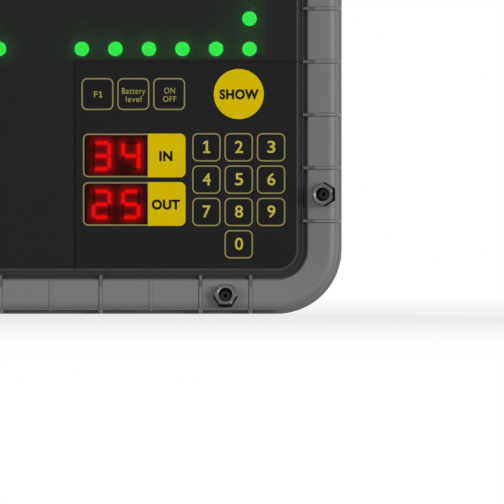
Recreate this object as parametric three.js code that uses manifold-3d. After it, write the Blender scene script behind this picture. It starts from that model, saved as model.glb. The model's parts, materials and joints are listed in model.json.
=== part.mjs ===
// Substitution board: a ribbed grey case with a black display face and a key field.
// Millimetres. X runs to the right of the display, Y to the back, Z up.
// The origin is the middle of the flat lower edge that the board stands on.
import * as THREE from 'three';
import { mergeVertices } from 'three/addons/utils/BufferGeometryUtils.js';
import Module from 'manifold-3d';

const wasm = await Module();
wasm.setup();

const quarterTurn = Math.PI / 2;

// Clearances
const seam = 0.3; // between two fixed pieces
const runningGap = 0.3; // around a piece that moves
const overrun = 1; // how far a cutter passes a face

// Outline of the board and its cross ribs
const cornerRadius = 45;
const longRibCount = 20;
const longRibPitch = 34.6;
const firstLongRibInset = 18.4; // from the end of the corner arc
const sideRibCount = 10;
const sideRibPitch = 36.8;
const firstSideRibInset = 19.4;
const longRibSpan = (longRibCount - 1) * longRibPitch;
const sideRibSpan = (sideRibCount - 1) * sideRibPitch;
const boardWidth = 2 * (cornerRadius + firstLongRibInset) + longRibSpan;
const boardHeight = 2 * (cornerRadius + firstSideRibInset) + sideRibSpan;
const right = boardWidth / 2;
const cornerSteps = 4;

// Section of the case, from the outer edge inwards and from the parting lip outwards
const lipReach = 2.8;
const lipHalfDepth = 8;
const rimWall = 2.4;
const rollRadius = 5.9;
const rollSteps = 3;
const innerSteps = 2;
const crestDepth = 29.6;
const rimSlope = THREE.MathUtils.degToRad(18);
const rimWidth = 24.1;
const channelWidth = 6.6;
const ledgeReach = 12;
const ledgeThickness = 3;
const rearDepth = 30;
const rearWall = 3;
const rearEdgeRadius = 8;
const rearEdgeSteps = 3;

// Ribs
const ribWidth = 3.2;
const ribHeight = 0.9;
const lowRibHeight = 0.35;
const ribShoulderDepth = 20;
const ribShoulderTurn = THREE.MathUtils.degToRad(40);
const ribNibReach = 2.9; // past the rim's inner edge, over the gasket

// Front panel and gasket
const panelFrontDepth = 23.4;
const panelThickness = 3;
const panelInset = rimWidth + channelWidth;
const gasketThickness = 1.8;
const beadHeight = 0.7;
const beadWidth = 1;
const beadFootWidth = 2.2;
const panelBackDepth = panelFrontDepth - panelThickness;
const ledgeDepth = panelBackDepth - seam;
const gasketFrontDepth = panelBackDepth + gasketThickness;
const nibDepth = gasketFrontDepth + beadHeight + seam;

// Studs and lock nuts
const seatInset = 11.3;
const studRadius = 4;
const studFootRadius = 3;
const studFootDepth = 8.2;
const studTipReach = 4.6;
const studChamfer = 0.7;
const studSides = 8;
const nutAcrossFlats = 14.4;
const nutHeight = 8;
const nutRecessRadius = 5.6;
const nutRecessDepth = 3.4;
const bossWidth = 18;
const bossInset = 5.5;
const bossEnd = 20;

// Key field
const keySize = 19.9;
const keySpace = 2.5;
const keyPitch = keySize + keySpace;
const keyCorner = 4;
const lastColumnInset = 18.4; // from the field's right edge
const lowestRowRise = 17.6; // from the field's lower edge
const digitColumns = 3;
const digitRows = 4;
const functionKeySize = 22.4;
const functionKeySpace = 2.45;
const functionKeyPitch = functionKeySize + functionKeySpace;
const functionKeyNames = ['key_f1', 'key_battery', 'key_power'];
const firstFunctionInset = 15.5;
const functionRowPitch = 36.9; // from the digits' top row
const functionRowInset = 22.1; // from the field's upper edge
const showRadius = 17.4;
const showPitch = 48.2; // from the last function key
const functionSpan = (functionKeyNames.length - 1) * functionKeyPitch + showPitch;
const functionRowRise = lowestRowRise + (digitRows - 1) * keyPitch + functionRowPitch;
const fieldWidth = firstFunctionInset + functionSpan + keyPitch + lastColumnInset;
const fieldHeight = functionRowRise + functionRowInset;
const fieldLeft = right - panelInset - fieldWidth;
const fieldBottom = panelInset;
const fieldTop = fieldBottom + fieldHeight;
const fieldSeam = 0.6;
const showSides = 32;
const keyProud = 0.4;
const keyTravel = 0.4;
const keyFlange = 0.7;
const keyFlangeThickness = 1;
const keyCornerSteps = 2;

// Key board and its switches
const switchSize = 6;
const switchHeight = 3.6;
const boardThickness = 1.6;
const keyBoardSideInset = 5;
const keyBoardEndInset = 10;
const keyBoardTopInset = 2;
const fieldPostRadius = 2.5;
const fieldPostInset = 8;
const fieldPostSpace = 9.6; // from the post to the last function key
const fieldPostTopInset = 5.6;

// Readouts
const upperReadoutRise = 78.9;
const windowLeftInset = 6.6;
const windowWidth = 43.6;
const windowHeight = 28.4;
const windowSpace = 5.2;
const readoutPitch = windowHeight + windowSpace;
const windowCorner = 1.2;
const lensThickness = 2;
const lensRecess = 0.2;
const moduleWidth = 40.6;
const moduleHeight = 27.2;

// Large LED digits
const ledColumns = 6;
const ledRows = 11;
const ledColumnPitch = 23.3;
const ledRadius = 4.6;
const ledSides = 6;
const ledLength = 8.9;
const ledPanelGap = 0.5;
const firstLedReach = 37.6; // from the middle of the display
const lastLedInset = 64;
const lowestLedRise = 9.5; // from the key field's upper edge
const highestLedInset = 66;
const ledBoardMargin = 12;
const spacerRadius = 3;
const spacerInset = 6;
const postSides = 6;

// Main board
const mainBoardWidth = 110;
const mainBoardHeight = 90;
const mainBoardDepth = 22;
const mainBoardBottom = 215;
const chipSize = 16;
const chipHeight = 2;
const plugWidth = 34;
const plugDepth = 8;
const plugHeight = 9;

// Battery, its box and its door
const batteryWidth = 152;
const batteryHeight = 66;
const batteryDepth = 33;
const batteryBottom = 49;
const batteryGap = 0.6;
const batteryFrontReach = 8;
const boxWall = 2.4;
const boxFlangeReach = 5;
const boxFlangeThickness = 2;
const doorThickness = 3;
const doorSideMargin = 10;
const doorTopMargin = 6;
const doorFootMargin = 18;
const doorCorner = 5;
const hingeRadius = 4.2;
const hingeRise = 5.5;
const hingeStubRadius = 2.1;
const hingeStubLength = 7;
const hingeLugRadius = 5;
const hingeSides = 12;
const doorNeckLength = 7;
const doorBarrelHalf = 34;
const bracketThickness = 2.2;
const bracketRise = 4.6; // from the hinge's axis to the strip above the barrel
const bracketHeight = 6;

// Door knob
const knobRadius = 9;
const knobPlateHeight = 3;
const knobGripHeight = 5;
const knobGripWidth = 4;
const knobShaftRadius = 3;
const knobCollarRadius = 4.2;
const knobCollarThickness = 1.4;
const knobSides = 16;

// Charge socket and its cap
const socketX = 150;
const socketHeight = 70;
const socketPlateHalf = 12;
const socketPlateCorner = 3;
const socketPlateThickness = 2;
const socketBodyRadius = 8;
const socketBodyLength = 16;
const socketBoreRadius = 3.2;
const socketBoreDepth = 12;
const socketPinRadius = 1;
const capRadius = 12;
const capThickness = 2.5;
const capNeckHalf = 5;
const capNeckLength = 6;
const capHingeRise = 6.5;
const capHingeRadius = 3;
const capStubRadius = 1.5;
const capStubLength = 4;
const capLugRadius = 3.6;

// Hand grips and their screws
const gripInset = 92.1; // from the board's end to the middle of the grip
const gripX = right - gripInset;
const gripRise = 5; // above the middle of the board's height
const gripMiddle = boardHeight / 2 + gripRise;
const gripLength = 150;
const gripWidth = 24;
const gripFootThickness = 4;
const gripFootReach = 18;
const gripStandOff = 40;
const gripBar = 18;
const gripLegWidth = 16;
const gripOuterRadius = 14;
const gripInnerRadius = 8;
const gripCurveSteps = 4;
const gripScrewInset = 9;
const gripScrewRadius = 2.4;
const gripScrewHeadRadius = 4.6;
const gripScrewHeadHeight = 2.6;
const gripScrewLength = 10;
const gripScrewSides = 8;

// Colours
const finishes = {
  rim: { color: 0x77797a, roughness: 0.42, metalness: 0 },
  gasket: { color: 0x2c2c2c, roughness: 0.8, metalness: 0 },
  panel: { color: 0x262626, roughness: 0.35, metalness: 0 },
  showKey: { color: 0xd0b200, roughness: 0.5, metalness: 0 },
  lens: { color: 0x5c0c0c, roughness: 0.2, metalness: 0 },
  module: { color: 0x3a1414, roughness: 0.5, metalness: 0 },
  circuit: { color: 0x1f4a2c, roughness: 0.6, metalness: 0 },
  battery: { color: 0x2b3a55, roughness: 0.6, metalness: 0 },
  door: { color: 0x4b4c4d, roughness: 0.5, metalness: 0 },
  knob: { color: 0x1c1c1c, roughness: 0.5, metalness: 0 },
  grip: { color: 0x161616, roughness: 0.7, metalness: 0 },
  steel: { color: 0x6f7072, roughness: 0.35, metalness: 1 },
  nut: { color: 0x8b8c8e, roughness: 0.3, metalness: 1 },
};

// Turning meshes into solids and back
function solidOf(geometry) {
  const bare = geometry.clone();
  bare.deleteAttribute('normal');
  bare.deleteAttribute('uv');
  const merged = mergeVertices(bare);
  const vertProperties = new Float32Array(merged.attributes.position.array);
  const triVerts = new Uint32Array(merged.index.array);
  return new wasm.Manifold(new wasm.Mesh({ numProp: 3, vertProperties, triVerts }));
}

function geometryOf(solid) {
  const mesh = solid.getMesh();
  const geometry = new THREE.BufferGeometry();
  geometry.setAttribute('position', new THREE.BufferAttribute(mesh.vertProperties, 3));
  geometry.setIndex(new THREE.BufferAttribute(mesh.triVerts, 1));
  geometry.computeVertexNormals();
  return geometry;
}

function joined(geometries) {
  return geometries.map(solidOf).reduce((whole, piece) => whole.add(piece));
}

// Basic shapes in the board's frame
function block(xRange, yRange, zRange) {
  const size = [xRange, yRange, zRange].map(([low, high]) => high - low);
  const middle = [xRange, yRange, zRange].map(([low, high]) => (low + high) / 2);
  return new THREE.BoxGeometry(...size).translate(...middle);
}

function rod(radius, [front, back], x, z, sides) {
  const cylinder = new THREE.CylinderGeometry(radius, radius, back - front, sides);
  return cylinder.translate(x, (front + back) / 2, z);
}

function crossRod(radius, [left, end], y, z, sides) {
  const cylinder = new THREE.CylinderGeometry(radius, radius, end - left, sides);
  return cylinder.rotateZ(quarterTurn).translate((left + end) / 2, y, z);
}

function roundedRectangle(width, height, radius) {
  const x = width / 2 - radius;
  const z = height / 2 - radius;
  const outline = new THREE.Shape();
  outline.absarc(x, z, radius, 0, quarterTurn);
  outline.absarc(-x, z, radius, quarterTurn, 2 * quarterTurn);
  outline.absarc(-x, -z, radius, 2 * quarterTurn, 3 * quarterTurn);
  outline.absarc(x, -z, radius, 3 * quarterTurn, 4 * quarterTurn);
  outline.closePath();
  return outline;
}

function plate(outline, [front, back], x, z) {
  const settings = { depth: back - front, bevelEnabled: false, curveSegments: keyCornerSteps };
  const sheet = new THREE.ExtrudeGeometry(outline, settings);
  return sheet.rotateX(quarterTurn).translate(x, back, z);
}

// A section drawn as inset and depth, pulled along X and centred there
function pulled(points, width) {
  const settings = { depth: width, bevelEnabled: false };
  const bar = new THREE.ExtrudeGeometry(new THREE.Shape(points), settings);
  return bar.rotateY(-quarterTurn).translate(width / 2, 0, 0);
}

// Loops around the board: every loop is the outline moved in by an inset, at one depth
function perimeterLoop({ x: inset, y: depth }) {
  const centres = [[1, 1], [-1, 1], [-1, -1], [1, -1]];
  const radius = cornerRadius - inset;
  return centres.flatMap(([sideX, sideZ], corner) => {
    const centreX = sideX * (right - cornerRadius);
    const centreZ = boardHeight / 2 + sideZ * (boardHeight / 2 - cornerRadius);
    return Array.from({ length: cornerSteps + 1 }, (_, step) => {
      const angle = (corner + step / cornerSteps) * quarterTurn;
      const x = centreX + radius * Math.cos(angle);
      return [x, depth, centreZ + radius * Math.sin(angle)];
    });
  });
}

function meshOfLoops(section, closed) {
  const loops = section.map(perimeterLoop);
  const around = loops[0].length;
  const triangles = [];
  const bands = closed ? loops.length : loops.length - 1;
  for (let band = 0; band < bands; band += 1) {
    const near = band * around;
    const far = ((band + 1) % loops.length) * around;
    for (let step = 0; step < around; step += 1) {
      const next = (step + 1) % around;
      triangles.push(near + step, far + step, far + next);
      triangles.push(near + step, far + next, near + next);
    }
  }
  if (!closed) {
    const last = (loops.length - 1) * around;
    for (let step = 1; step < around - 1; step += 1) {
      triangles.push(0, step, step + 1);
      triangles.push(last, last + step + 1, last + step);
    }
  }
  const geometry = new THREE.BufferGeometry();
  geometry.setAttribute('position', new THREE.Float32BufferAttribute(loops.flat(2), 3));
  geometry.setIndex(triangles);
  return geometry;
}

// Edges of the board: along the edge, depth, and inset, with the zero at the edge's middle
const edges = {
  bottom: { turn: 0, origin: [0, 0, 0] },
  right: { turn: -quarterTurn, origin: [right, 0, boardHeight / 2] },
  top: { turn: 2 * quarterTurn, origin: [0, 0, boardHeight] },
  left: { turn: quarterTurn, origin: [-right, 0, boardHeight / 2] },
};

function onEdge(geometry, edge, along) {
  const { turn, origin } = edges[edge];
  return geometry.clone().translate(along, 0, 0).rotateY(turn).translate(...origin);
}

function ribPlaces() {
  const rows = [
    ['bottom', longRibCount, longRibPitch],
    ['top', longRibCount, longRibPitch],
    ['left', sideRibCount, sideRibPitch],
    ['right', sideRibCount, sideRibPitch],
  ];
  return rows.flatMap(([edge, count, pitch]) => Array.from({ length: count }, (_, index) => {
    const fromEnd = Math.min(index, count - 1 - index);
    const low = pitch === longRibPitch && fromEnd > 1 && fromEnd % 2 === 0;
    return { edge, along: (index - (count - 1) / 2) * pitch, low };
  }));
}

const boltPlaces = [
  ['bottom', longRibSpan / 2 - longRibPitch / 2],
  ['bottom', 0],
  ['bottom', -longRibSpan / 2 + longRibPitch / 2],
  ['right', -sideRibSpan / 2 + sideRibPitch / 2],
  ['right', sideRibSpan / 2 - sideRibPitch / 2],
  ['top', longRibSpan / 2 - longRibPitch / 2],
  ['top', 0],
  ['top', -longRibSpan / 2 + longRibPitch / 2],
  ['left', -sideRibSpan / 2 + sideRibPitch / 2],
  ['left', sideRibSpan / 2 - sideRibPitch / 2],
];

// Front rim section: a roll-over edge, then a face that slopes in towards the panel
const rollInset = lipReach + rollRadius;
const rollDepth = crestDepth - rollRadius;

function point(inset, depth) {
  return new THREE.Vector2(inset, depth);
}

function slopePoint(inset, below) {
  const drop = (rollRadius - below) / Math.cos(rimSlope);
  return point(inset, (inset - rollInset) * Math.tan(rimSlope) - rollDepth - drop);
}

function rollArc(below, from, to, steps = rollSteps) {
  const radius = rollRadius - below;
  return Array.from({ length: steps + 1 }, (_, step) => {
    const angle = from + (to - from) * (step / steps);
    return point(rollInset - radius * Math.cos(angle), -rollDepth - radius * Math.sin(angle));
  });
}

const rollEnd = quarterTurn + rimSlope;
const rimSeatDepth = lipHalfDepth + seam;

function frontRim() {
  const inner = rimWidth - rimWall;
  const section = [
    ...rollArc(0, rollEnd, 0),
    point(lipReach, -rimSeatDepth),
    point(lipReach + rimWall, -rimSeatDepth),
    ...rollArc(rimWall, 0, rollEnd, innerSteps),
    slopePoint(inner, rimWall),
    point(inner, ledgeThickness - ledgeDepth),
    point(rimWidth + ledgeReach, ledgeThickness - ledgeDepth),
    point(rimWidth + ledgeReach, -ledgeDepth),
    point(rimWidth, -ledgeDepth),
    slopePoint(rimWidth, 0),
  ];
  let solid = solidOf(meshOfLoops(section, true));
  for (const { edge, along, low } of ribPlaces()) {
    solid = solid.add(solidOf(onEdge(low ? lowFrontRib() : frontRib(), edge, along)));
  }
  for (const [edge, along] of boltPlaces) {
    const hole = onSeat(rod(studRadius + seam, [-overrun - studFootDepth, overrun], 0, 0, studSides));
    solid = solid.subtract(solidOf(onEdge(hole, edge, along)));
  }
  return geometryOf(solid);
}

function ribInnerSide() {
  return [
    point(lipReach + rimWall / 2, -rimSeatDepth),
    ...rollArc(rimWall / 2, 0, rollEnd, innerSteps),
    point(rimWidth - rimWall / 2, -nibDepth),
    point(rimWidth + ribNibReach, -nibDepth),
    slopePoint(rimWidth + ribNibReach, -ribHeight),
  ];
}

function frontRib() {
  const section = [
    ...ribInnerSide(),
    ...rollArc(-ribHeight, rollEnd, ribShoulderTurn),
    point(0, -ribShoulderDepth),
    point(0, -rimSeatDepth),
  ];
  return pulled(section, ribWidth);
}

function lowFrontRib() {
  const section = [
    point(lipReach + rimWall / 2, -rimSeatDepth),
    ...rollArc(rimWall / 2, 0, rollEnd, innerSteps),
    slopePoint(rimWidth - rimWall / 2, rimWall / 2),
    slopePoint(rimWidth - rimWall / 2, -lowRibHeight),
    ...rollArc(-lowRibHeight, rollEnd, 0),
    point(lipReach - lowRibHeight, -rimSeatDepth),
  ];
  return pulled(section, ribWidth);
}

// The nut's seat: its axis leans inwards, square to the sloping face
function onSeat(geometry) {
  const seat = slopePoint(seatInset, 0);
  return geometry.clone().rotateX(2 * quarterTurn - rimSlope).translate(0, seat.y, seat.x);
}

// Rear shell
function rearTray() {
  const edgeInset = lipReach + rearEdgeRadius;
  const edgeDepth = rearDepth - rearEdgeRadius;
  const arc = (radius, from, to) => Array.from({ length: rearEdgeSteps + 1 }, (_, step) => {
    const angle = from + (to - from) * (step / rearEdgeSteps);
    return point(edgeInset - radius * Math.cos(angle), edgeDepth + radius * Math.sin(angle));
  });
  return meshOfLoops([
    ...arc(rearEdgeRadius - rearWall, quarterTurn, 0),
    point(lipReach + rearWall, -lipHalfDepth),
    point(0, -lipHalfDepth),
    point(0, lipHalfDepth),
    point(lipReach, lipHalfDepth),
    ...arc(rearEdgeRadius, 0, quarterTurn),
  ], false);
}

function rearRib() {
  const middle = lipReach + rearWall / 2;
  const section = [
    point(0, lipHalfDepth - rearWall / 2),
    point(0, ribShoulderDepth),
    point(lipReach, rearDepth - rearEdgeRadius),
    point(middle, rearDepth - rearEdgeRadius),
    point(middle, lipHalfDepth - rearWall / 2),
  ];
  return pulled(section, ribWidth);
}

function bossLimit() {
  const below = rimWall + seam;
  return solidOf(meshOfLoops([
    slopePoint(rimWidth - rimWall - seam, below),
    ...rollArc(below, rollEnd, 0, innerSteps),
    point(lipReach + rimWall + seam, rearDepth - rearWall / 2),
  ], false));
}

function boltBosses() {
  const across = [-bossWidth / 2, bossWidth / 2];
  const bar = block(across, [-crestDepth, rearDepth - rearWall / 2], [bossInset, bossEnd]);
  const bores = rod(studFootRadius + seam, [-studFootDepth - seam, 0], 0, 0, studSides);
  const limit = bossLimit();
  return boltPlaces.map(([edge, along]) => {
    const boss = solidOf(onEdge(bar, edge, along)).intersect(limit);
    return boss.subtract(solidOf(onEdge(onSeat(bores), edge, along)));
  });
}

function hingeLugs(hinge, foot) {
  const start = hinge.barrelHalf + runningGap;
  const end = start + hinge.stubLength + seam;
  const depth = [foot, hinge.depth];
  const height = [hinge.height - hinge.lugRadius, hinge.height + hinge.lugRadius];
  return [[start, end], [-end, -start]].map(([low, high]) => {
    const spans = [low + hinge.x, high + hinge.x];
    const bored = [spans[0] - overrun, spans[1] + overrun];
    const lug = joined([
      block(spans, depth, height),
      crossRod(hinge.lugRadius, spans, hinge.depth, hinge.height, hingeSides),
    ]);
    const bore = crossRod(hinge.stubRadius + runningGap, bored, hinge.depth, hinge.height, hingeSides);
    return lug.subtract(solidOf(bore));
  });
}

function hingeBarrel(hinge) {
  const stubHalf = hinge.barrelHalf + hinge.stubLength;
  const body = [hinge.x - hinge.barrelHalf, hinge.x + hinge.barrelHalf];
  const stubs = [hinge.x - stubHalf, hinge.x + stubHalf];
  return joined([
    crossRod(hinge.radius, body, hinge.depth, hinge.height, hingeSides),
    crossRod(hinge.stubRadius, stubs, hinge.depth, hinge.height, hingeSides),
  ]);
}

// Battery box and door places
const boxHalf = batteryWidth / 2 + batteryGap;
const boxHeights = [batteryBottom - batteryGap, batteryBottom + batteryHeight + batteryGap];
const doorHalf = boxHalf + doorSideMargin;
const doorFoot = boxHeights[0] - doorFootMargin;
const doorTop = boxHeights[1] + doorTopMargin;
const onBack = rearDepth + seam; // where the fittings on the back start
const knobHeight = doorFoot + doorFootMargin / 2;
const doorHinge = {
  x: 0,
  depth: rearDepth + hingeRise,
  height: doorTop + doorNeckLength,
  barrelHalf: doorBarrelHalf,
  radius: hingeRadius,
  stubRadius: hingeStubRadius,
  stubLength: hingeStubLength,
  lugRadius: hingeLugRadius,
};
const capInner = onBack + socketPlateThickness + seam;
const capHinge = {
  x: socketX,
  depth: rearDepth + capHingeRise,
  height: socketHeight + capRadius + capNeckLength,
  barrelHalf: capNeckHalf,
  radius: capHingeRadius,
  stubRadius: capStubRadius,
  stubLength: capStubLength,
  lugRadius: capLugRadius,
};

// Places of the large LED digits, left to right, and their boards
const ledBoardDepth = panelBackDepth - ledPanelGap - ledLength;
const digitWidth = (ledColumns - 1) * ledColumnPitch;
const digitPitch = right - lastLedInset - digitWidth - firstLedReach;
const lowestLedHeight = fieldTop + lowestLedRise;
const digitHeight = boardHeight - highestLedInset - lowestLedHeight;
const ledRowPitch = digitHeight / (ledRows - 1);
const ledBoardWidth = digitPitch + digitWidth + 2 * ledBoardMargin;
const ledBoardMiddle = right - lastLedInset + ledBoardMargin - ledBoardWidth / 2;
const ledBoardHeights = [
  lowestLedHeight - ledBoardMargin,
  lowestLedHeight + digitHeight + ledBoardMargin,
];
const mainBoardHeights = [mainBoardBottom, mainBoardBottom + mainBoardHeight];

// Four rods near the corners of a board
function cornerRods(middleX, width, [low, high], span) {
  const reach = width / 2 - spacerInset;
  const places = [-reach, reach].flatMap((x) => [
    [middleX + x, low + spacerInset],
    [middleX + x, high - spacerInset],
  ]);
  return places.map(([x, z]) => rod(spacerRadius, span, x, z, postSides));
}

function rearShell() {
  let solid = solidOf(rearTray());
  for (const { edge, along } of ribPlaces()) {
    solid = solid.add(solidOf(onEdge(rearRib(), edge, along)));
  }
  const behindMain = [mainBoardDepth + boardThickness + seam, rearDepth - rearWall / 2];
  const additions = [
    ...boltBosses(),
    ...cornerRods(0, mainBoardWidth, mainBoardHeights, behindMain).map(solidOf),
  ];
  for (const addition of additions) {
    solid = solid.add(addition);
  }
  const through = [rearDepth - rearWall - overrun, rearDepth + overrun];
  const holes = [
    block([-boxHalf, boxHalf], through, boxHeights),
    rod(socketBodyRadius + seam, through, socketX, socketHeight, knobSides),
    ...gripScrewPlaces().map(([x, z]) => rod(gripScrewRadius + seam, through, x, z, gripScrewSides)),
  ];
  for (const hole of holes) {
    solid = solid.subtract(solidOf(hole));
  }
  return geometryOf(solid);
}

// Gasket, panel and key field
function panelGasket() {
  const outer = rimWidth + seam;
  const inner = panelInset - seam;
  const middle = (outer + inner) / 2;
  return meshOfLoops([
    point(outer, -gasketFrontDepth),
    point(outer, -panelBackDepth),
    point(inner, -panelBackDepth),
    point(inner, -gasketFrontDepth),
    point(middle + beadFootWidth / 2, -gasketFrontDepth),
    point(middle + beadWidth / 2, -gasketFrontDepth - beadHeight),
    point(middle - beadWidth / 2, -gasketFrontDepth - beadHeight),
    point(middle - beadFootWidth / 2, -gasketFrontDepth),
  ], true);
}

function wholePanel() {
  return solidOf(meshOfLoops([
    point(panelInset, -panelFrontDepth),
    point(panelInset, -panelBackDepth),
  ], false));
}

function fieldCorner(gap) {
  const depths = [-panelFrontDepth - overrun, overrun - panelBackDepth];
  return solidOf(block([fieldLeft - gap, right], depths, [0, fieldTop + gap]));
}

const lastColumn = fieldLeft + fieldWidth - lastColumnInset;
const lowestRow = fieldBottom + lowestRowRise;
const functionRow = fieldBottom + functionRowRise;
const digitKeys = Array.from({ length: digitColumns * (digitRows - 1) }, (_, index) => ({
  name: `key_${index + 1}`,
  x: lastColumn + ((index % digitColumns) + 1 - digitColumns) * keyPitch,
  z: lowestRow + (digitRows - 1 - Math.floor(index / digitColumns)) * keyPitch,
  size: keySize,
}));
const functionKeys = functionKeyNames.map((name, index) => ({
  name,
  x: fieldLeft + firstFunctionInset + index * functionKeyPitch,
  z: functionRow,
  size: functionKeySize,
}));
const keys = [
  ...functionKeys,
  { name: 'key_show', x: lastColumn - keyPitch, z: functionRow, radius: showRadius },
  ...digitKeys,
  { name: 'key_0', x: lastColumn - keyPitch, z: lowestRow, size: keySize },
];

function keyOutline(key, grow, span) {
  if (key.radius) {
    return rod(key.radius + grow, span, key.x, key.z, showSides);
  }
  const size = key.size + 2 * grow;
  return plate(roundedRectangle(size, size, keyCorner + grow), span, key.x, key.z);
}

const keyFlangeFront = seam - panelBackDepth;
const keyBack = keyFlangeFront + keyFlangeThickness;
const switchTop = keyBack + keyTravel + seam;
const keyBoardFront = switchTop + switchHeight;

function keyCap(key) {
  return geometryOf(joined([
    keyOutline(key, 0, [-panelFrontDepth - keyProud, keyBack]),
    keyOutline(key, keyFlange, [keyFlangeFront, keyBack]),
  ]));
}

const readouts = [
  { name: 'in', z: fieldBottom + upperReadoutRise },
  { name: 'out', z: fieldBottom + upperReadoutRise - readoutPitch },
];
const windowMiddle = fieldLeft + windowLeftInset + windowWidth / 2;

function fieldPostPlaces() {
  const first = fieldLeft + fieldPostInset;
  const second = functionKeys.at(-1).x + functionKeySize / 2 + fieldPostSpace;
  const top = fieldTop - fieldPostTopInset;
  return [first, second].flatMap((x) => [[x, lowestRow], [x, top]]);
}

function controlPlate() {
  let solid = wholePanel().intersect(fieldCorner(0));
  const posts = [-panelBackDepth - panelThickness / 2, keyBoardFront - seam];
  for (const [x, z] of fieldPostPlaces()) {
    solid = solid.add(solidOf(rod(fieldPostRadius, posts, x, z, postSides)));
  }
  const through = [-panelFrontDepth - overrun, overrun - panelBackDepth];
  for (const key of keys) {
    solid = solid.subtract(solidOf(keyOutline(key, runningGap, through)));
  }
  for (const readout of readouts) {
    const outline = roundedRectangle(windowWidth, windowHeight, windowCorner);
    solid = solid.subtract(solidOf(plate(outline, through, windowMiddle, readout.z)));
  }
  return geometryOf(solid);
}

function keypadBoard() {
  const sheet = block(
    [fieldLeft + keyBoardSideInset, fieldLeft + fieldWidth - keyBoardEndInset],
    [keyBoardFront, keyBoardFront + boardThickness],
    [fieldBottom + keyBoardEndInset, fieldTop - keyBoardTopInset],
  );
  const half = switchSize / 2;
  const switches = keys.map(({ x, z }) => block(
    [x - half, x + half],
    [switchTop, keyBoardFront + boardThickness / 2],
    [z - half, z + half],
  ));
  return geometryOf(joined([sheet, ...switches]));
}

function readoutLens({ z }) {
  const width = windowWidth - 2 * seam;
  const height = windowHeight - 2 * seam;
  const front = lensRecess - panelFrontDepth;
  const outline = roundedRectangle(width, height, windowCorner - seam);
  return plate(outline, [front, front + lensThickness], windowMiddle, z);
}

function readoutModule({ z }) {
  const front = lensRecess + lensThickness + seam - panelFrontDepth;
  const outline = roundedRectangle(moduleWidth, moduleHeight, windowCorner);
  return plate(outline, [front, keyBoardFront - seam], windowMiddle, z);
}

// Seven strokes of one large digit, as rows and columns of LEDs
function digitLeds() {
  const middleRow = (ledRows - 1) / 2;
  const places = [];
  for (let row = 0; row < ledRows; row += 1) {
    for (let column = 0; column < ledColumns; column += 1) {
      const onStroke = row % middleRow === 0 || column % (ledColumns - 1) === 0;
      if (onStroke) {
        places.push([column * ledColumnPitch, row * ledRowPitch]);
      }
    }
  }
  return places;
}

function displayBoard(middleX) {
  const front = -ledBoardDepth;
  const sheet = block(
    [middleX - ledBoardWidth / 2, middleX + ledBoardWidth / 2],
    [front, front + boardThickness],
    ledBoardHeights,
  );
  const span = [front - ledLength, front + boardThickness / 2];
  const firstX = middleX - ledBoardWidth / 2 + ledBoardMargin;
  const leds = [0, digitPitch].flatMap((shift) => digitLeds().map(([x, z]) => (
    rod(ledRadius, span, firstX + shift + x, lowestLedHeight + z, ledSides)
  )));
  const spacers = cornerRods(
    middleX, ledBoardWidth, ledBoardHeights, [seam - panelBackDepth, front + boardThickness / 2],
  );
  return geometryOf(joined([sheet, ...leds, ...spacers]));
}

function mainBoard() {
  const half = mainBoardWidth / 2;
  const middleZ = mainBoardBottom + mainBoardHeight / 2;
  const chip = chipSize / 2;
  const sunk = mainBoardDepth + boardThickness / 2;
  const plugs = [-half / 2, half / 2].map((x) => block(
    [x - plugWidth / 2, x + plugWidth / 2],
    [mainBoardDepth - plugHeight, sunk],
    [mainBoardBottom + plugDepth, mainBoardBottom + 2 * plugDepth],
  ));
  return geometryOf(joined([
    block([-half, half], [mainBoardDepth, mainBoardDepth + boardThickness], mainBoardHeights),
    block([-chip, chip], [mainBoardDepth - chipHeight, sunk], [middleZ - chip, middleZ + chip]),
    ...plugs,
  ]));
}

// The battery's box, with a flange that lies on the inside of the back
function batteryBox() {
  const flangeBack = rearDepth - rearWall - seam;
  const grown = (reach) => [
    [-boxHalf - reach, boxHalf + reach],
    [boxHeights[0] - reach, boxHeights[1] + reach],
  ];
  const [flangeX, flangeZ] = grown(boxWall + boxFlangeReach);
  const [wallX, wallZ] = grown(boxWall);
  const front = -batteryFrontReach - batteryGap;
  const walls = joined([
    block(flangeX, [flangeBack - boxFlangeThickness, flangeBack], flangeZ),
    block(wallX, [front - boxWall, flangeBack], wallZ),
  ]);
  const hollow = block([-boxHalf, boxHalf], [front, flangeBack + overrun], boxHeights);
  return geometryOf(walls.subtract(solidOf(hollow)));
}

function batteryPack() {
  return block(
    [-batteryWidth / 2, batteryWidth / 2],
    [-batteryFrontReach, batteryDepth - batteryFrontReach],
    [batteryBottom, batteryBottom + batteryHeight],
  );
}

// A strip above the door's barrel, with a lug at each end
function hingeBracket() {
  const reach = doorHinge.barrelHalf + runningGap + doorHinge.stubLength + seam;
  const foot = doorHinge.height + bracketRise;
  const strip = block(
    [-reach, reach], [onBack, onBack + bracketThickness], [foot, foot + bracketHeight],
  );
  const lugs = hingeLugs(doorHinge, onBack);
  return geometryOf(lugs.reduce((whole, lug) => whole.add(lug), solidOf(strip)));
}

function batteryDoor() {
  const height = doorTop - doorFoot;
  const span = [onBack, onBack + doorThickness];
  const sheet = plate(
    roundedRectangle(2 * doorHalf, height, doorCorner), span, 0, doorFoot + height / 2,
  );
  const neck = block(
    [-doorBarrelHalf, doorBarrelHalf], span, [doorTop - doorCorner, doorHinge.height],
  );
  const bores = [
    [knobShaftRadius + runningGap, span[1] + overrun],
    [knobCollarRadius + runningGap, onBack + knobCollarThickness + runningGap],
  ];
  let solid = joined([sheet, neck]).add(hingeBarrel(doorHinge));
  for (const [radius, end] of bores) {
    const bore = rod(radius, [onBack - overrun, end], 0, knobHeight, knobSides);
    solid = solid.subtract(solidOf(bore));
  }
  return geometryOf(solid);
}

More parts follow.
